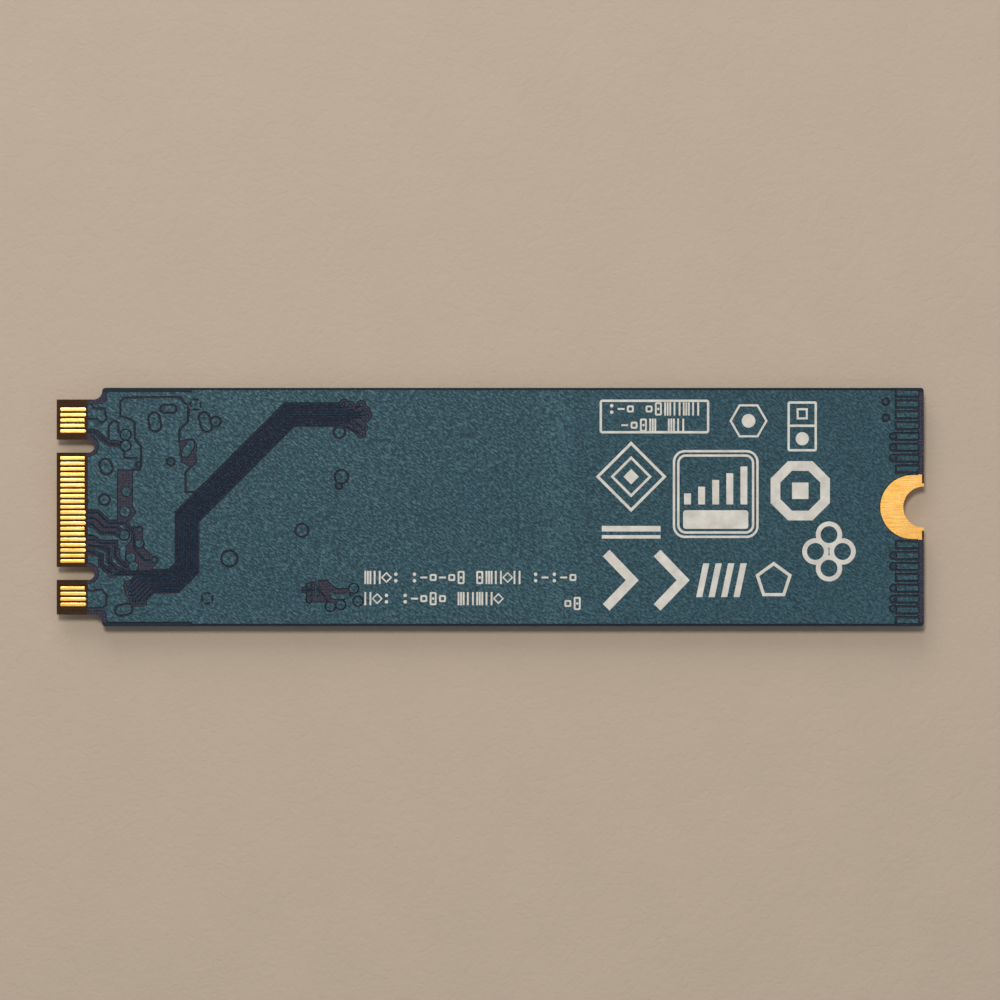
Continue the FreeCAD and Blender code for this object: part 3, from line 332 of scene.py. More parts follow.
def sagging_sheet(node, sizes):
    """A flat CAD sheet remade so that it sinks a little where no chip holds it up."""
    low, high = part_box(node)
    chips = [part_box(chip + "_mould") for chip in CHIPS]
    columns = max(2, round((high.x - low.x) / sizes.label_cell))
    rows = max(2, round((high.y - low.y) / sizes.label_cell))
    mesh = bmesh.new()
    sheets = []
    for level in (low.z, high.z):
        sheet = []
        for column in range(columns + 1):
            x = low.x + (high.x - low.x) * column / columns
            line = []
            for row in range(rows + 1):
                y = low.y + (high.y - low.y) * row / rows
                share = min(1.0, distance_to_boxes(x, y, chips) / sizes.label_reach)
                sink = sizes.label_sag * share * share * (3 - 2 * share)
                line.append(mesh.verts.new((x, y, level + sink)))
            sheet.append(line)
        sheets.append(sheet)
    for sheet in sheets:
        for column in range(columns):
            for row in range(rows):
                mesh.faces.new((sheet[column][row], sheet[column + 1][row], sheet[column + 1][row + 1],
                                sheet[column][row + 1]))
    border = [(column, 0) for column in range(columns)]
    border += [(columns, row) for row in range(rows)]
    border += [(column, rows) for column in range(columns, 0, -1)]
    border += [(0, row) for row in range(rows, 0, -1)]
    for place, following in zip(border, border[1:] + border[:1]):
        (a, b), (c, d) = place, following
        mesh.faces.new((sheets[0][a][b], sheets[0][c][d], sheets[1][c][d], sheets[1][a][b]))
    bmesh.ops.recalc_face_normals(mesh, faces=mesh.faces)
    for face in mesh.faces:
        face.smooth = abs(face.normal.z) > FLAT / 2
    result = bpy.data.meshes.new(node + "_finish")
    mesh.to_mesh(result)
    mesh.free()
    return result


def scratch_mesh(sizes, height):
    """Hairline scratches that wander a little over the back."""
    mesh = bmesh.new()
    for start, end in SCRATCHES:
        start, end = Vector(start) * MM, Vector(end) * MM
        side = (end - start).orthogonal().normalized() * sizes.scratch_width / 2
        rows = []
        for step in range(SCRATCH_STEPS + 1):
            share = step / SCRATCH_STEPS
            middle = start.lerp(end, share) + side * random.uniform(-1.0, 1.0)
            narrow = math.sin(math.pi * share)
            points = ((middle - side * narrow, 0.0), (middle, sizes.scratch_rise),
                      (middle + side * narrow, 0.0))
            rows.append([mesh.verts.new((point.x, point.y, height + rise)) for point, rise in points])
        for row, following in zip(rows, rows[1:]):
            for index in range(2):
                mesh.faces.new((row[index], row[index + 1], following[index + 1], following[index]))
    bmesh.ops.recalc_face_normals(mesh, faces=mesh.faces)
    result = bpy.data.meshes.new("mask_scratches")
    mesh.to_mesh(result)
    mesh.free()
    return result


# --- Shader helpers ---

def add(tree, kind, inputs=(), **settings):
    """A shader node with its settings and the values of its sockets."""
    node = tree.nodes.new("ShaderNode" + kind)
    for key, value in settings.items():
        setattr(node, key, value)
    for key, value in dict(inputs).items():
        if isinstance(value, bpy.types.NodeSocket):
            tree.links.new(value, node.inputs[key])
        else:
            node.inputs[key].default_value = value
    return node


def arithmetic(tree, operation, first, second):
    """One Math node's result."""
    return add(tree, "Math", {0: first, 1: second}, operation=operation).outputs[0]


def blend_colour(tree, factor, first, second):
    """A colour between two, by a mask."""
    mix = add(tree, "Mix", {0: factor}, data_type="RGBA")
    for socket, value in ((mix.inputs[6], first), (mix.inputs[7], second)):
        if isinstance(value, bpy.types.NodeSocket):
            tree.links.new(value, socket)
        else:
            socket.default_value = (*value, 1.0)
    return mix.outputs[2]


def tinted(base, share):
    """A colour made lighter (above 1) or darker (below 1)."""
    return tuple(min(1.0, channel * share) for channel in base)


def steps(tree, value, low, high):
    """A value spread from 0 at low to 1 at high."""
    node = add(tree, "MapRange", {"Value": value, "From Min": low, "From Max": high})
    return node.outputs["Result"]


def start_group(name, numbers, outputs):
    """A new node group with a Vector input, named numbers and named outputs."""
    tree = bpy.data.node_groups.new(name, "ShaderNodeTree")
    tree.interface.new_socket(name="Vector", in_out="INPUT", socket_type="NodeSocketVector")
    for label, value in numbers:
        socket = tree.interface.new_socket(name=label, in_out="INPUT", socket_type="NodeSocketFloat")
        socket.default_value = value
    for label in outputs:
        tree.interface.new_socket(name=label, in_out="OUTPUT", socket_type="NodeSocketFloat")
    entry = tree.nodes.new("NodeGroupInput")
    leave = tree.nodes.new("NodeGroupOutput")
    return tree, entry.outputs, leave.inputs


def wrinkle_group():
    """Leathery creases, as cured mask shows: a height and a mask of the creases."""
    numbers = (("Scale", 1.4), ("Fine", 6.0))
    tree, given, result = start_group("Wrinkles", numbers, ("Height", "Creases"))
    warp = add(tree, "TexNoise", {"Vector": given["Vector"], "Scale": given["Scale"], "Detail": 2.0})
    shift = add(tree, "VectorMath", {0: given["Vector"], 1: warp.outputs["Color"]}, operation="ADD")
    broad = add(tree, "TexNoise", {"Vector": shift.outputs[0], "Scale": given["Scale"], "Detail": 3.0,
                                   "Roughness": 0.6})
    fold = arithmetic(tree, "SUBTRACT", broad.outputs["Fac"], 0.5)
    crease = steps(tree, arithmetic(tree, "ABSOLUTE", fold, 0.0), 0.0, 0.09)
    fine = add(tree, "TexNoise", {"Vector": shift.outputs[0], "Scale": given["Fine"], "Detail": 2.0})
    mixed = add(tree, "Math", {0: crease, 1: 0.5, 2: fine.outputs["Fac"]}, operation="MULTIPLY_ADD")
    tree.links.new(mixed.outputs[0], result["Height"])
    tree.links.new(crease, result["Creases"])
    return tree


def streak_group():
    """Short slanting streaks whose direction drifts a little, like a fine brushed hide."""
    numbers = (("Along", 3.1), ("Across", 6.8), ("Turn", 0.62), ("Drift", 1.3))
    tree, given, result = start_group("Streaks", numbers, ("Height", "Glints"))
    slow = add(tree, "TexNoise", {"Vector": given["Vector"], "Scale": 0.35, "Detail": 2.0})
    centred = arithmetic(tree, "SUBTRACT", slow.outputs["Fac"], 0.5)
    drift = arithmetic(tree, "MULTIPLY", centred, given["Drift"])
    turned = add(tree, "VectorRotate", {"Vector": given["Vector"], "Angle": given["Turn"]},
                 rotation_type="Z_AXIS")
    scale = add(tree, "CombineXYZ", {"X": given["Along"], "Y": given["Across"], "Z": 1.0})
    drawn = add(tree, "VectorMath", {0: turned.outputs[0], 1: scale.outputs[0]}, operation="MULTIPLY")
    moved = add(tree, "VectorMath", {0: drawn.outputs[0], 1: drift}, operation="ADD")
    noise = add(tree, "TexNoise", {"Vector": moved.outputs[0], "Scale": 1.0, "Detail": 2.0,
                                   "Roughness": 0.55, "Distortion": 0.5})
    tree.links.new(steps(tree, noise.outputs["Fac"], 0.36, 0.62), result["Height"])
    tree.links.new(steps(tree, noise.outputs["Fac"], 0.52, 0.68), result["Glints"])
    return tree


def cloud_group():
    """Slow change of tone over a surface."""
    tree, given, result = start_group("Clouds", (("Scale", 0.08), ("Contrast", 2.0)), ("Mask",))
    noise = add(tree, "TexNoise", {"Vector": given["Vector"], "Scale": given["Scale"], "Detail": 4.0,
                                   "Roughness": 0.55})
    centred = arithmetic(tree, "SUBTRACT", noise.outputs["Fac"], 0.5)
    spread = arithmetic(tree, "MULTIPLY", centred, given["Contrast"])
    total = add(tree, "Math", {0: spread, 1: 0.5}, operation="ADD", use_clamp=True)
    tree.links.new(total.outputs[0], result["Mask"])
    return tree


def scratch_group():
    """Fine scratches that run along X."""
    numbers = (("Along", 0.25), ("Across", 14.0), ("Limit", 0.62))
    tree, given, result = start_group("Scratches", numbers, ("Mask",))
    scale = add(tree, "CombineXYZ", {"X": given["Along"], "Y": given["Across"], "Z": given["Across"]})
    spread = add(tree, "VectorMath", {0: given["Vector"], 1: scale.outputs[0]}, operation="MULTIPLY")
    noise = add(tree, "TexNoise", {"Vector": spread.outputs[0], "Scale": 1.0, "Detail": 3.0})
    above = arithmetic(tree, "SUBTRACT", noise.outputs["Fac"], given["Limit"])
    mask = add(tree, "Math", {0: above, 1: 12.0}, operation="MULTIPLY", use_clamp=True)
    tree.links.new(mask.outputs[0], result["Mask"])
    return tree


def weave_group():
    """Glass cloth under resin: threads over and under, at a slant."""
    numbers = (("Threads", 2.2), ("Turn", 0.785))
    tree, given, result = start_group("Weave", numbers, ("Height", "Threads"))
    turn = arithmetic(tree, "MULTIPLY", given["Threads"], math.tau)
    slant = add(tree, "VectorRotate", {"Vector": given["Vector"], "Angle": given["Turn"]},
                rotation_type="Z_AXIS")
    split = add(tree, "SeparateXYZ", {0: slant.outputs[0]})
    waves = []
    for axis in ("X", "Y"):
        phase = arithmetic(tree, "MULTIPLY", split.outputs[axis], turn)
        waves.append(add(tree, "Math", {0: phase}, operation="SINE").outputs[0])
    product = arithmetic(tree, "MULTIPLY", waves[0], waves[1])
    tree.links.new(steps(tree, product, -1.0, 1.0), result["Height"])
    tree.links.new(steps(tree, product, -0.2, 0.9), result["Threads"])
    return tree


def speck_group():
    """Scattered specks of dust and grit."""
    tree, given, result = start_group("Specks", (("Scale", 3.0), ("Size", 0.12)), ("Mask",))
    cells = add(tree, "TexVoronoi", {"Vector": given["Vector"], "Scale": given["Scale"]})
    patch = add(tree, "TexNoise", {"Vector": given["Vector"], "Scale": 0.6})
    size = arithmetic(tree, "MULTIPLY", given["Size"], patch.outputs["Fac"])
    below = arithmetic(tree, "LESS_THAN", cells.outputs["Distance"], size)
    tree.links.new(below, result["Mask"])
    return tree


GROUP_MAKERS = {"Wrinkles": wrinkle_group, "Streaks": streak_group, "Clouds": cloud_group,
                "Scratches": scratch_group, "Weave": weave_group, "Specks": speck_group}


class Finish:
    """A material under construction: its node tree, its shader and the place on the object."""

    def __init__(self, name, roughness, metallic=0.0, coat=0.0):
        self.material = bpy.data.materials.new(name)
        self.material.use_nodes = True
        self.tree = self.material.node_tree
        self.shader = self.tree.nodes["Principled BSDF"]
        self.shader.inputs["Roughness"].default_value = roughness
        self.shader.inputs["Metallic"].default_value = metallic
        self.shader.inputs["Coat Weight"].default_value = coat
        where = add(self.tree, "TexCoord")
        scaled = add(self.tree, "Mapping", {"Vector": where.outputs["Object"], "Scale": (1 / MM,) * 3})
        self.place = scaled.outputs[0]

    def effect(self, group, **numbers):
        """One of the shared effects, with this material's own numbers."""
        node = self.tree.nodes.new("ShaderNodeGroup")
        node.node_tree = bpy.data.node_groups.get(group) or GROUP_MAKERS[group]()
        self.tree.links.new(self.place, node.inputs["Vector"])
        for key, value in numbers.items():
            node.inputs[key].default_value = value
        return node.outputs

    def paint(self, value):
        """Sets the base colour, plain or from a node."""
        socket = self.shader.inputs["Base Color"]
        if isinstance(value, bpy.types.NodeSocket):
            self.tree.links.new(value, socket)
        else:
            socket.default_value = (*value, 1.0)

    def vary_roughness(self, mask, low, high):
        """Roughness from low to high by a mask."""
        node = add(self.tree, "MapRange", {"Value": mask, "To Min": low, "To Max": high})
        self.tree.links.new(node.outputs["Result"], self.shader.inputs["Roughness"])

    def bump(self, height, depth, strength=1.0):
        """Relief of a given depth in millimetres."""
        node = add(self.tree, "Bump", {"Height": height, "Distance": depth * MM, "Strength": strength})
        self.tree.links.new(node.outputs[0], self.shader.inputs["Normal"])


def slope_mask(finish, low, high):
    """0 at one height of the object and 1 at another."""
    split = add(finish.tree, "SeparateXYZ", {0: finish.place})
    return steps(finish.tree, split.outputs["Z"], low / MM, high / MM)


# --- Materials ---

def sheen_band_mask(finish, middle, reach):
    """A soft upright band across the board, broken up: painted sheen, standing in for a lamp's
    reflection.
    """
    split = add(finish.tree, "SeparateXYZ", {0: finish.place})
    away = arithmetic(finish.tree, "SUBTRACT", split.outputs["X"], middle)
    off = arithmetic(finish.tree, "ABSOLUTE", away, 0.0)
    band = add(finish.tree, "MapRange", {"Value": off, "From Min": 0.0, "From Max": reach,
                                         "To Min": 1.0, "To Max": 0.0},
               interpolation_type="SMOOTHSTEP")
    patches = finish.effect("Clouds", Scale=0.5, Contrast=3.0)
    return arithmetic(finish.tree, "MULTIPLY", band.outputs["Result"], patches["Mask"])


def mask_material(name, colours, top, edge_low, edge_high):
    """Satin solder mask: its colour over copper, with painted shade where it runs down to the laminate
    and painted sheen and glints on top.
    """
    finish = Finish(name, 0.45)
    over_pour = top == colours.mask_high
    finish.shader.inputs["Specular IOR Level"].default_value = 0.26 if over_pour else 0.16
    tree = finish.tree
    streaks = finish.effect("Streaks")
    slow = finish.effect("Clouds", Scale=0.035, Contrast=2.2)
    patches = finish.effect("Clouds", Scale=0.8, Contrast=2.2)
    # Painted sheen: a soft paler upright band across the board, standing in for a lamp's reflection.
    rubbed = sheen_band_mask(finish, SHEEN_BAND_PLACE, SHEEN_BAND_REACH)
    # A paler tone for random patches, and also for the painted sheen band and glints below.
    pale = colours.mask_pale_and_sheen if over_pour else tinted(top, 2.4)
    tone = blend_colour(tree, arithmetic(tree, "MULTIPLY", slow["Mask"], 0.25), top, pale)
    tone = blend_colour(tree, arithmetic(tree, "MULTIPLY", patches["Mask"], 0.30), tone,
                        tinted(top, 0.5))
    tone = blend_colour(tree, arithmetic(tree, "MULTIPLY", rubbed, 0.30), tone, tinted(pale, 1.3))
    shaded = blend_colour(tree, streaks["Height"], tinted(top, 0.40), tone)
    # Painted highlights: the streaks' glints in the pale colour, strongest towards the connector end and
    # fading along the board.
    along = add(tree, "SeparateXYZ", {0: finish.place}).outputs["X"]
    glint_strength = add(tree, "MapRange", {"Value": along, "From Min": GLINTS_STRONG_END, "From Max": GLINTS_WEAK_END,
                                  "To Min": 0.62, "To Max": 0.15}, interpolation_type="SMOOTHSTEP")
    patchy = arithmetic(tree, "MULTIPLY", streaks["Glints"], steps(tree, patches["Mask"], -0.3, 0.9))
    glints = arithmetic(tree, "MULTIPLY", patchy, glint_strength.outputs["Result"])
    grained = blend_colour(tree, glints, shaded, pale)
    specks = finish.effect("Specks", Scale=0.8, Size=0.05)
    dusty = blend_colour(tree, arithmetic(tree, "MULTIPLY", specks["Mask"], 0.3), grained,
                         colours.dust)
    # Painted shade: the mask darkens down its slopes to the edge colour.
    slope = slope_mask(finish, edge_low, edge_high)
    finish.paint(blend_colour(tree, slope, colours.mask_edge_shade, dusty))
    finish.vary_roughness(streaks["Height"], 0.56, 0.40)
    finish.bump(streaks["Height"], 0.018)
    return finish.material


def deep_mask_material(colours):
    """Solder mask straight on the laminate, where the glass shows through a little, with painted glints
    in its grain.
    """
    finish = Finish("mask_over_laminate", 0.55)
    finish.shader.inputs["Specular IOR Level"].default_value = 0.15
    tree = finish.tree
    streaks = finish.effect("Streaks", Along=4.0, Across=6.0, Turn=-0.7)
    weave = finish.effect("Weave", Threads=2.6)
    tone = blend_colour(tree, weave["Threads"], colours.mask_deep, tinted(colours.mask_deep, 0.45))
    # Painted highlights: the streaks' glints in a lighter shade of the mask.
    tone = blend_colour(tree, arithmetic(tree, "MULTIPLY", streaks["Glints"], 0.45), tone,
                        tinted(colours.mask_deep, 2.6))
    across = add(tree, "SeparateXYZ", {0: finish.place}).outputs["Y"]
    half_width = cad_box[1][1] / MM
    rim = steps(tree, arithmetic(tree, "ABSOLUTE", across, 0.0), half_width - RIM_INNER,
                half_width - RIM_OUTER)
    finish.paint(blend_colour(tree, rim, tone, colours.mask_rim))
    finish.bump(streaks["Height"], 0.012)
    return finish.material


def gold_material(colours):
    """Hard gold over nickel, rubbed along X by sockets."""
    finish = Finish("contact_gold", 0.28, metallic=1.0)
    tree = finish.tree
    scratches = finish.effect("Scratches", Along=0.5, Across=13.0, Limit=0.54)
    clouds = finish.effect("Clouds", Scale=0.7, Contrast=2.5)
    grain = finish.effect("Wrinkles", Scale=3.0, Fine=14.0)
    tone = blend_colour(tree, clouds["Mask"], colours.gold, colours.gold_worn)
    tone = blend_colour(tree, arithmetic(tree, "MULTIPLY", scratches["Mask"], 0.5), tone,
                        tinted(colours.gold, 0.62))
    finish.paint(tone)
    finish.vary_roughness(scratches["Mask"], 0.26, 0.40)
    finish.bump(arithmetic(tree, "ADD", scratches["Mask"], grain["Height"]), 0.0007)
    return finish.material


def laminate_material(colours):
    """Bare glass cloth and resin."""
    finish = Finish("board_laminate", 0.55)
    finish.shader.inputs["Specular IOR Level"].default_value = 0.10
    tree = finish.tree
    weave = finish.effect("Weave", Threads=2.1)
    wrinkles = finish.effect("Wrinkles", Scale=1.2, Fine=6.0)
    woven = blend_colour(tree, arithmetic(tree, "MULTIPLY", weave["Threads"], 0.5), colours.laminate,
                         colours.laminate_glass)
    finish.paint(blend_colour(tree, arithmetic(tree, "MULTIPLY", wrinkles["Height"], 0.6), woven,
                              tinted(colours.laminate, 0.5)))
    finish.bump(arithmetic(tree, "ADD", weave["Height"], wrinkles["Height"]), 0.010)
    return finish.material


def ink_material(colours):
    """Printing ink with a faint grain and small gaps."""
    finish = Finish("print_ink", 0.62)
    wrinkles = finish.effect("Wrinkles", Scale=2.0, Fine=12.0)
    clouds = finish.effect("Clouds", Scale=0.9, Contrast=2.4)
    finish.paint(blend_colour(finish.tree, clouds["Mask"], colours.ink, tinted(colours.ink, 0.72)))
    finish.bump(wrinkles["Height"], 0.004)
    return finish.material


def two_tone_material(name, base, other, roughness, scale, depth, metallic=0.0, coat=0.0):
    """A slow change between two tones under a fine grain, whose depth is in millimetres."""
    finish = Finish(name, roughness, metallic=metallic, coat=coat)
    grain = finish.effect("Wrinkles", Scale=scale, Fine=scale * 5)
    clouds = finish.effect("Clouds", Scale=scale / 3, Contrast=2.5)
    finish.paint(blend_colour(finish.tree, clouds["Mask"], base, other))
    finish.vary_roughness(grain["Height"], roughness * 0.8, min(1.0, roughness * 1.3))
    finish.bump(grain["Height"], depth)
    return finish.material


def grainy_material(name, base, shade, **surface):
    """The same with a second tone that is a shade of the first."""
    return two_tone_material(name, base, tinted(base, shade), **surface)


def within(tree, value, middle, reach):
    """1 where a value is within reach of the middle."""
    away = arithmetic(tree, "ABSOLUTE", arithmetic(tree, "SUBTRACT", value, middle), 0.0)
    return arithmetic(tree, "LESS_THAN", away, reach)


def label_material(colours):
    """Printed film: a broad band at one end, fine rules along it and a row of plain blocks."""
    finish = Finish("label_film", 0.38)
    tree = finish.tree
    split = add(tree, "SeparateXYZ", {0: finish.place}).outputs
    grain = finish.effect("Wrinkles", Scale=0.8, Fine=9.0)
    low, high = (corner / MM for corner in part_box("label_film"))
    middle = (low + high) / 2
    band = within(tree, split["X"], low.x + LABEL_BAND / 2, LABEL_BAND / 2)
    tone = blend_colour(tree, band, colours.label_paper, colours.label_band)
    clear = arithmetic(tree, "SUBTRACT", 1.0, band)
    for share in LABEL_RULES:
        rule = within(tree, split["Y"], middle.y + share * (high.y - middle.y), LABEL_RULE / 2)
        tone = blend_colour(tree, arithmetic(tree, "MULTIPLY", rule, clear), tone, colours.label_rule)
    cell = arithmetic(tree, "FRACT", arithmetic(tree, "MULTIPLY", split["X"], 1 / LABEL_BLOCK), 0.0)
    block = arithmetic(tree, "LESS_THAN", cell, BLOCK_SHARE)
    row = within(tree, split["Y"], middle.y, LABEL_BLOCK / 3)
    blocks = arithmetic(tree, "MULTIPLY", arithmetic(tree, "MULTIPLY", block, row), clear)
    tone = blend_colour(tree, blocks, tone, colours.label_band)
    finish.paint(tone)
    finish.vary_roughness(grain["Height"], 0.32, 0.45)
    finish.bump(grain["Height"], 0.004)
    return finish.material


# --- Floor and light ---

def soft_light(name, place, size, power, tint):
    """A large square light that points at the drive."""
    data = bpy.data.lights.new(name, "AREA")
    data.size = size
    data.energy = power
    data.color = tint
    lamp = bpy.data.objects.new(name, data)
    lamp.location = place
    lamp.rotation_euler = (-Vector(place)).to_track_quat("-Z", "Y").to_euler()
    bpy.context.scene.collection.objects.link(lamp)


def show_only_from_above(finish):
    """Lets a view from below the floor, and the light from below, pass through it."""
    tree = finish.tree
    side = add(tree, "NewGeometry").outputs["Backfacing"]
    seen = add(tree, "LightPath").outputs["Is Camera Ray"]
    front = arithmetic(tree, "SUBTRACT", 1.0, side)
    clear = add(tree, "BsdfTransparent")
    mix = add(tree, "MixShader", {0: arithmetic(tree, "MULTIPLY", seen, front), 1: clear.outputs[0],
                                  2: finish.shader.outputs[0]})
    tree.links.new(mix.outputs[0], tree.nodes["Material Output"].inputs["Surface"])


def room_light(tint, strength):
    """Light from all round, stronger overhead and underneath than at the sides."""
    world = bpy.data.worlds.new("room")
    world.use_nodes = True
    tree = world.node_tree
    where = add(tree, "TexCoord")
    height = add(tree, "SeparateXYZ", {0: where.outputs["Generated"]}).outputs["Z"]
    above = add(tree, "MapRange", {"Value": height, "From Min": 0.45, "From Max": 0.97, "To Min": 0.30,
                                   "To Max": 1.0}, interpolation_type="SMOOTHSTEP")
    below = add(tree, "MapRange", {"Value": height, "From Min": -0.15, "From Max": -0.6, "To Min": 0.0,
                                   "To Max": 1.2}, interpolation_type="SMOOTHSTEP")
    share = arithmetic(tree, "ADD", above.outputs["Result"], below.outputs["Result"])
    background = tree.nodes["Background"]
    background.inputs["Color"].default_value = (*tint, 1.0)
    level = arithmetic(tree, "MULTIPLY", share, strength)
    tree.links.new(level, background.inputs["Strength"])
    return world


# --- Operators ---

class DRIVE_OT_board(Operator):
    """Finish the laminate, its inner copper and the plated holes"""

    bl_idname = "drive.board"
    bl_label = "Board"

    def execute(self, context):
        colours = context.scene.drive_colours
        coat(laminate_material(colours), "laminate_core", "laminate_back_layer", "laminate_front_layer")
        copper = grainy_material("inner_copper", colours.copper, shade=0.7, roughness=0.35,
                                 scale=3.0, depth=0.002, metallic=1.0)
        coat(copper, "inner_ground_plane", "inner_power_plane", "via_barrels")
        covered = grainy_material("covered_copper", tinted(colours.copper, 0.8), shade=0.75,
                                  roughness=0.4, scale=3.0, depth=0.002, metallic=1.0)
        coat(covered, "back_ground_pour", "back_bus_traces", "back_signal_traces", "back_via_lands",
             "back_covered_pads", "front_ground_pour")
        return {"FINISHED"}


class DRIVE_OT_mask(Operator):
    """Lay the solder mask over both faces: low over the laminate, raised over the copper"""

    bl_idname = "drive.mask"
    bl_label = "Solder Mask"

    def execute(self, context):
        sizes = context.scene.drive_sizes
        colours = context.scene.drive_colours
        deep = deep_mask_material(colours)
        for face, side, raised in (("back", UP, BACK_RAISED), ("front", DOWN, FRONT_RAISED)):
            outer = level_of(face + "_solder_mask", side)
            inner = level_of(face + "_solder_mask", -side)
            low = inner + side * sizes.mask_low
            base = rounded_sheet(face + "_mask_base", flat_outlines(face + "_solder_mask", side),
                                 min(inner, low), max(inner, low), sizes.mask_low / 4)
            piece = finish_mesh(face + "_mask_base", base, deep)
            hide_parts(face + "_solder_mask")
            foot = low + SLOPE_FOOT * (outer - low)
            brow = low + SLOPE_BROW * (outer - low)
            wide = mask_material(face + "_mask_pour", colours, colours.mask_high, foot, brow)
            fine = mask_material(face + "_mask_fine", colours, colours.mask_trace, foot, brow)
            for node, narrow in raised:
                material = fine if narrow else wide
                rounding = sizes.trace_round if narrow else sizes.pour_round
                if side == DOWN:
                    rounding = sizes.pour_lap
                lap = sizes.trace_lap if narrow else sizes.pour_lap
                mesh = rounded_sheet(node + "_mask", flat_outlines(node, side), min(inner, outer),
                                     max(inner, outer), rounding, lap)
                finish_mesh(node + "_mask", mesh, material)
        outer = level_of("back_solder_mask", UP)
        foot = outer - 2 * sizes.via_rise
        brow = outer - sizes.via_rise
        rims = rounded_sheet("via_rims", flat_outlines("via_barrels", UP), outer - sizes.via_rise,
                             outer + sizes.via_rise, sizes.via_growth / 2, sizes.via_growth)
        hollows = mask_material("via_mask", colours, tinted(colours.mask_high, 0.75), foot, brow)
        finish_mesh("via_rims", rims, hollows)
        worn = two_tone_material("mask_scratch", colours.mask_pale_and_sheen, colours.mask_high,
                                 roughness=0.6, scale=3.0, depth=0.001)
        finish_mesh("mask_scratches", scratch_mesh(sizes, outer), worn)
        return {"FINISHED"}


class DRIVE_OT_contacts(Operator):
    """Make the gold contacts of the connector edge with rounded edges"""

    bl_idname = "drive.contacts"
    bl_label = "Contacts"

    def execute(self, context):
        sizes = context.scene.drive_sizes
        gold = gold_material(context.scene.drive_colours)
        for node, side in (("back_contacts", UP), ("front_contacts", DOWN)):
            mesh = rounded_sheet(node + "_gold", flat_outlines(node, side), level_of(node, DOWN),
                                 level_of(node, UP), sizes.contact_round)
            piece = finish_mesh(node + "_gold", mesh, gold)
            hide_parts(node)
        coat(gold, "back_screw_land", "front_screw_land", "edge_plating", "front_pads",
             "power_chip_leads")
        return {"FINISHED"}


class DRIVE_OT_print(Operator):
    """Print the abstract marks on the back"""

    bl_idname = "drive.print"
    bl_label = "Printed Marks"

    def execute(self, context):
        sizes = context.scene.drive_sizes
        node = "back_printed_marks"
        mesh = rounded_sheet("print", flat_outlines(node, UP), level_of(node, DOWN), level_of(node, UP),
                             sizes.ink_round, sizes.ink_round / 2)
        ink = ink_material(context.scene.drive_colours)
        piece = finish_mesh("printed_marks_ink", mesh, ink)
        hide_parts(node)
        return {"FINISHED"}


class DRIVE_OT_chips(Operator):
    """Finish the four memory and controller chips"""

    bl_idname = "drive.chips"
    bl_label = "Chips"

    def execute(self, context):
        sizes = context.scene.drive_sizes
        colours = context.scene.drive_colours
        mould = grainy_material("chip_mould", colours.mould, shade=2.0, roughness=0.55, scale=4.0,
                                depth=0.004)
        edge = grainy_material("chip_substrate", colours.substrate, shade=1.6, roughness=0.45,
                               scale=5.0, depth=0.003)
        solder = grainy_material("ball_solder", colours.solder, shade=0.8, roughness=0.32,
                                 scale=6.0, depth=0.002, metallic=1.0)
        silicon = grainy_material("silicon", colours.silicon, shade=1.3, roughness=0.2, scale=3.0,
                                  depth=0.001)
        for chip in CHIPS:
            soften(chip + "_mould", sizes.chip_edge, mould)
            coat(edge, chip + "_substrate")
            coat(solder, chip + "_balls")
            coat(silicon, chip + "_dies")
        return {"FINISHED"}


class DRIVE_OT_small_parts(Operator):
    """Finish the capacitors and resistors"""

    bl_idname = "drive.small_parts"
    bl_label = "Small Parts"

    def execute(self, context):
        sizes = context.scene.drive_sizes
        colours = context.scene.drive_colours
        tin = grainy_material("tinned_metal", colours.tin, shade=0.8, roughness=0.38, scale=7.0,
                              depth=0.003, metallic=1.0)
        ceramic = grainy_material("brown_ceramic", colours.ceramic, shade=0.8, roughness=0.4,
                                  scale=5.0, depth=0.002)
        dark = grainy_material("dark_ceramic", colours.ceramic_dark, shade=1.8, roughness=0.35,
                               scale=5.0, depth=0.002)
        for part, material, slot in (("large_capacitor", ceramic, "capacitor_ceramic"),
                                     ("small_capacitor", ceramic, "capacitor_ceramic"),
                                     ("resistor", dark, "dark_ceramic")):
            soften(part + "_bodies", sizes.part_edge, material)
            soften(part + "_caps", sizes.part_edge, tin)
        fillet = grainy_material("solder", colours.solder, shade=0.85, roughness=0.22, scale=5.0,
                                 depth=0.002, metallic=1.0)
        coat(fillet, "solder_fillets")
        coat(tin, "load_switch_leads", "inductor_terminals")
        return {"FINISHED"}


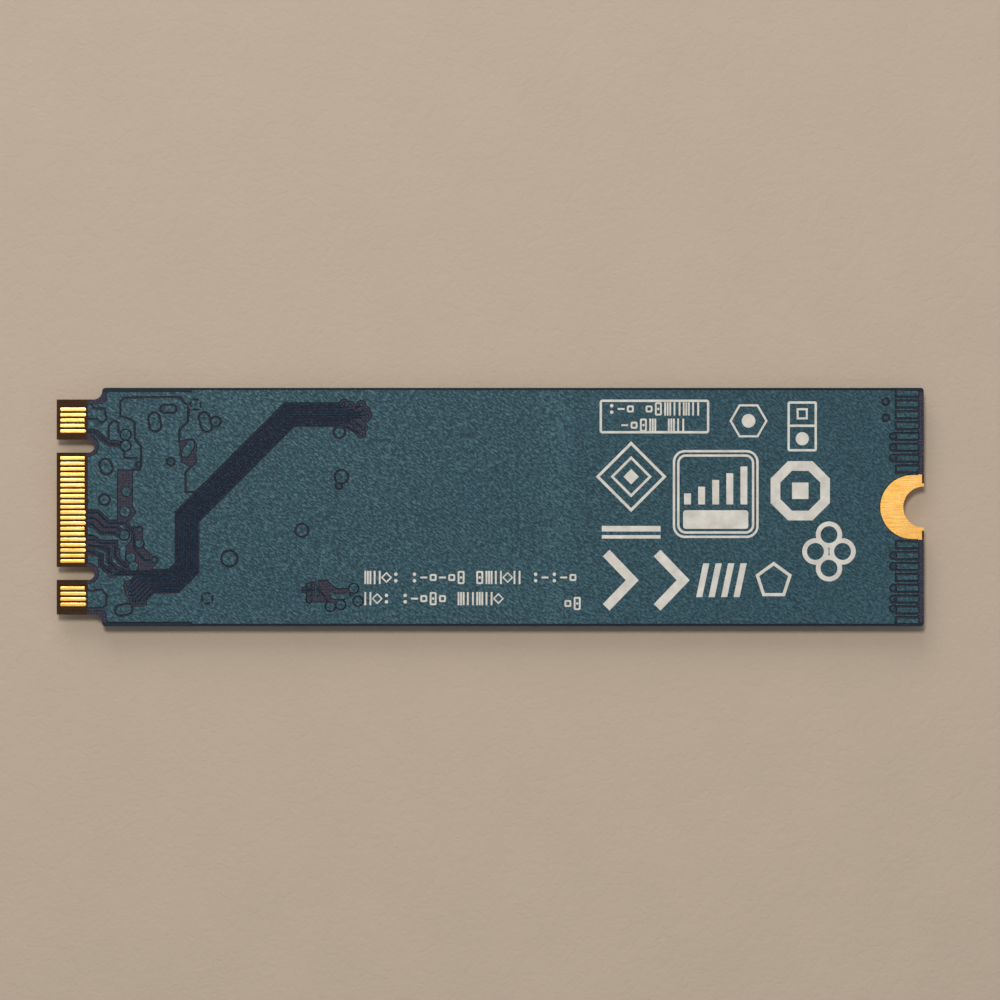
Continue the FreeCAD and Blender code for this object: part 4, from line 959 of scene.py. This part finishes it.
class DRIVE_OT_power_parts(Operator):
    """Finish the inductors, the power chip, the load switch, the fuse and the crystal"""

    bl_idname = "drive.power_parts"
    bl_label = "Power Parts"

    def execute(self, context):
        sizes = context.scene.drive_sizes
        colours = context.scene.drive_colours
        mould = two_tone_material("small_chip_mould", tinted(colours.mould, 1.3),
                                  tinted(colours.mould, 2.2), roughness=0.5, scale=5.0, depth=0.004)
        core = grainy_material("inductor_core", colours.core, shade=1.5, roughness=0.6, scale=5.0,
                               depth=0.006)
        winding = grainy_material("winding", colours.winding, shade=0.7, roughness=0.25, scale=8.0,
                                  depth=0.001, metallic=1.0, coat=0.6)
        lid = grainy_material("crystal_lid", colours.lid, shade=0.85, roughness=0.3, scale=6.0,
                              depth=0.001, metallic=1.0)
        pale = grainy_material("pale_ceramic", colours.ceramic_pale, shade=0.9, roughness=0.5,
                               scale=6.0, depth=0.002)
        soften("power_chip_body", sizes.part_edge, mould)
        coat(mould, "load_switch_body")
        soften("inductor_cores", sizes.core_edge, core)
        coat(winding, "inductor_windings")
        coat(lid, "crystal_lid")
        dark = grainy_material("crystal_ceramic", colours.ceramic_dark, shade=1.8, roughness=0.45,
                               scale=5.0, depth=0.002)
        soften("crystal_base", sizes.part_edge, dark)
        soften("fuse_body", sizes.part_edge, pale)
        soften("fuse_caps", sizes.part_edge, bpy.data.materials["tinned_metal"])
        return {"FINISHED"}


class DRIVE_OT_label(Operator):
    """Finish the label on the chips"""

    bl_idname = "drive.label"
    bl_label = "Label"

    def execute(self, context):
        colours = context.scene.drive_colours
        glue = grainy_material("label_glue", colours.label_glue, shade=0.85, roughness=0.6,
                               scale=3.0, depth=0.002)
        for node, material, slot in (("label_film", label_material(colours), "label_film"),
                                     ("label_adhesive", glue, "label_adhesive")):
            mesh = sagging_sheet(node, context.scene.drive_sizes)
            piece = finish_mesh(node + "_finish", mesh, material)
            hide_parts(node)
        return {"FINISHED"}


class DRIVE_OT_stage(Operator):
    """Set the pale floor, the soft lights and the camera over the drive"""

    bl_idname = "drive.stage"
    bl_label = "Stage"

    def execute(self, context):
        stage = context.scene.drive_stage
        colours = context.scene.drive_colours
        mesh = bpy.data.meshes.new("floor")
        half = stage.floor_size / 2
        corners = [(x, y, -stage.floor_gap)
                   for x, y in ((-half, -half), (half, -half), (half, half), (-half, half))]
        mesh.from_pydata(corners, [], [(0, 1, 2, 3)])
        floor = bpy.data.objects.new("floor", mesh)
        context.scene.collection.objects.link(floor)
        finish = Finish("floor_paper", 0.85)
        clouds = finish.effect("Clouds", Scale=0.15, Contrast=1.2)
        finish.paint(blend_colour(finish.tree, clouds["Mask"], colours.floor,
                                  tinted(colours.floor, 0.94)))
        grain = finish.effect("Wrinkles", Scale=0.5, Fine=3.0)
        finish.bump(grain["Height"], 0.03)
        show_only_from_above(finish)
        mesh.materials.append(finish.material)

        soft_light("key_light", KEY_PLACE, KEY_SIZE, stage.key_power, colours.key_light)
        soft_light("fill_light", FILL_PLACE, FILL_SIZE, stage.fill_power, colours.fill_light)
        context.scene.world = room_light(colours.sky, stage.room_strength)
        context.scene.view_settings.view_transform = "Standard"

        data = bpy.data.cameras.new("camera")
        data.lens = LENS
        board_top = cad_box[1][2]
        distance = data.lens / data.sensor_width * stage.view_width
        camera = bpy.data.objects.new("camera", data)
        camera.location = (stage.view_right, stage.view_up, board_top + distance)
        context.scene.collection.objects.link(camera)
        context.scene.camera = camera
        return {"FINISHED"}


class DRIVE_PT_panel(Panel):
    """Lists the drive's pieces"""

    bl_idname = "DRIVE_PT_panel"
    bl_label = "Drive"
    bl_space_type = "VIEW_3D"
    bl_region_type = "UI"
    bl_category = "Drive"

    def draw(self, context):
        layout = self.layout
        for operator in OPERATORS:
            layout.operator(operator.bl_idname)
        scene = context.scene
        for group in (scene.drive_sizes, scene.drive_colours, scene.drive_stage):
            box = layout.box()
            for name in group.__annotations__:
                box.prop(group, name)


OPERATORS = (DRIVE_OT_board, DRIVE_OT_mask, DRIVE_OT_contacts, DRIVE_OT_print, DRIVE_OT_chips,
             DRIVE_OT_small_parts, DRIVE_OT_power_parts, DRIVE_OT_label, DRIVE_OT_stage)
CLASSES = (DriveSizes, DriveColours, DriveStage, *OPERATORS, DRIVE_PT_panel)


def register():
    for kind in CLASSES:
        bpy.utils.register_class(kind)
    bpy.types.Scene.drive_sizes = PointerProperty(type=DriveSizes)
    bpy.types.Scene.drive_colours = PointerProperty(type=DriveColours)
    bpy.types.Scene.drive_stage = PointerProperty(type=DriveStage)


def unregister():
    del bpy.types.Scene.drive_stage
    del bpy.types.Scene.drive_colours
    del bpy.types.Scene.drive_sizes
    for kind in reversed(CLASSES):
        bpy.utils.unregister_class(kind)


def main():
    random.seed(SEED)
    register()
    for operator in OPERATORS:
        family, action = operator.bl_idname.split(".")
        getattr(getattr(bpy.ops, family), action)()


if __name__ == "__main__":
    main()
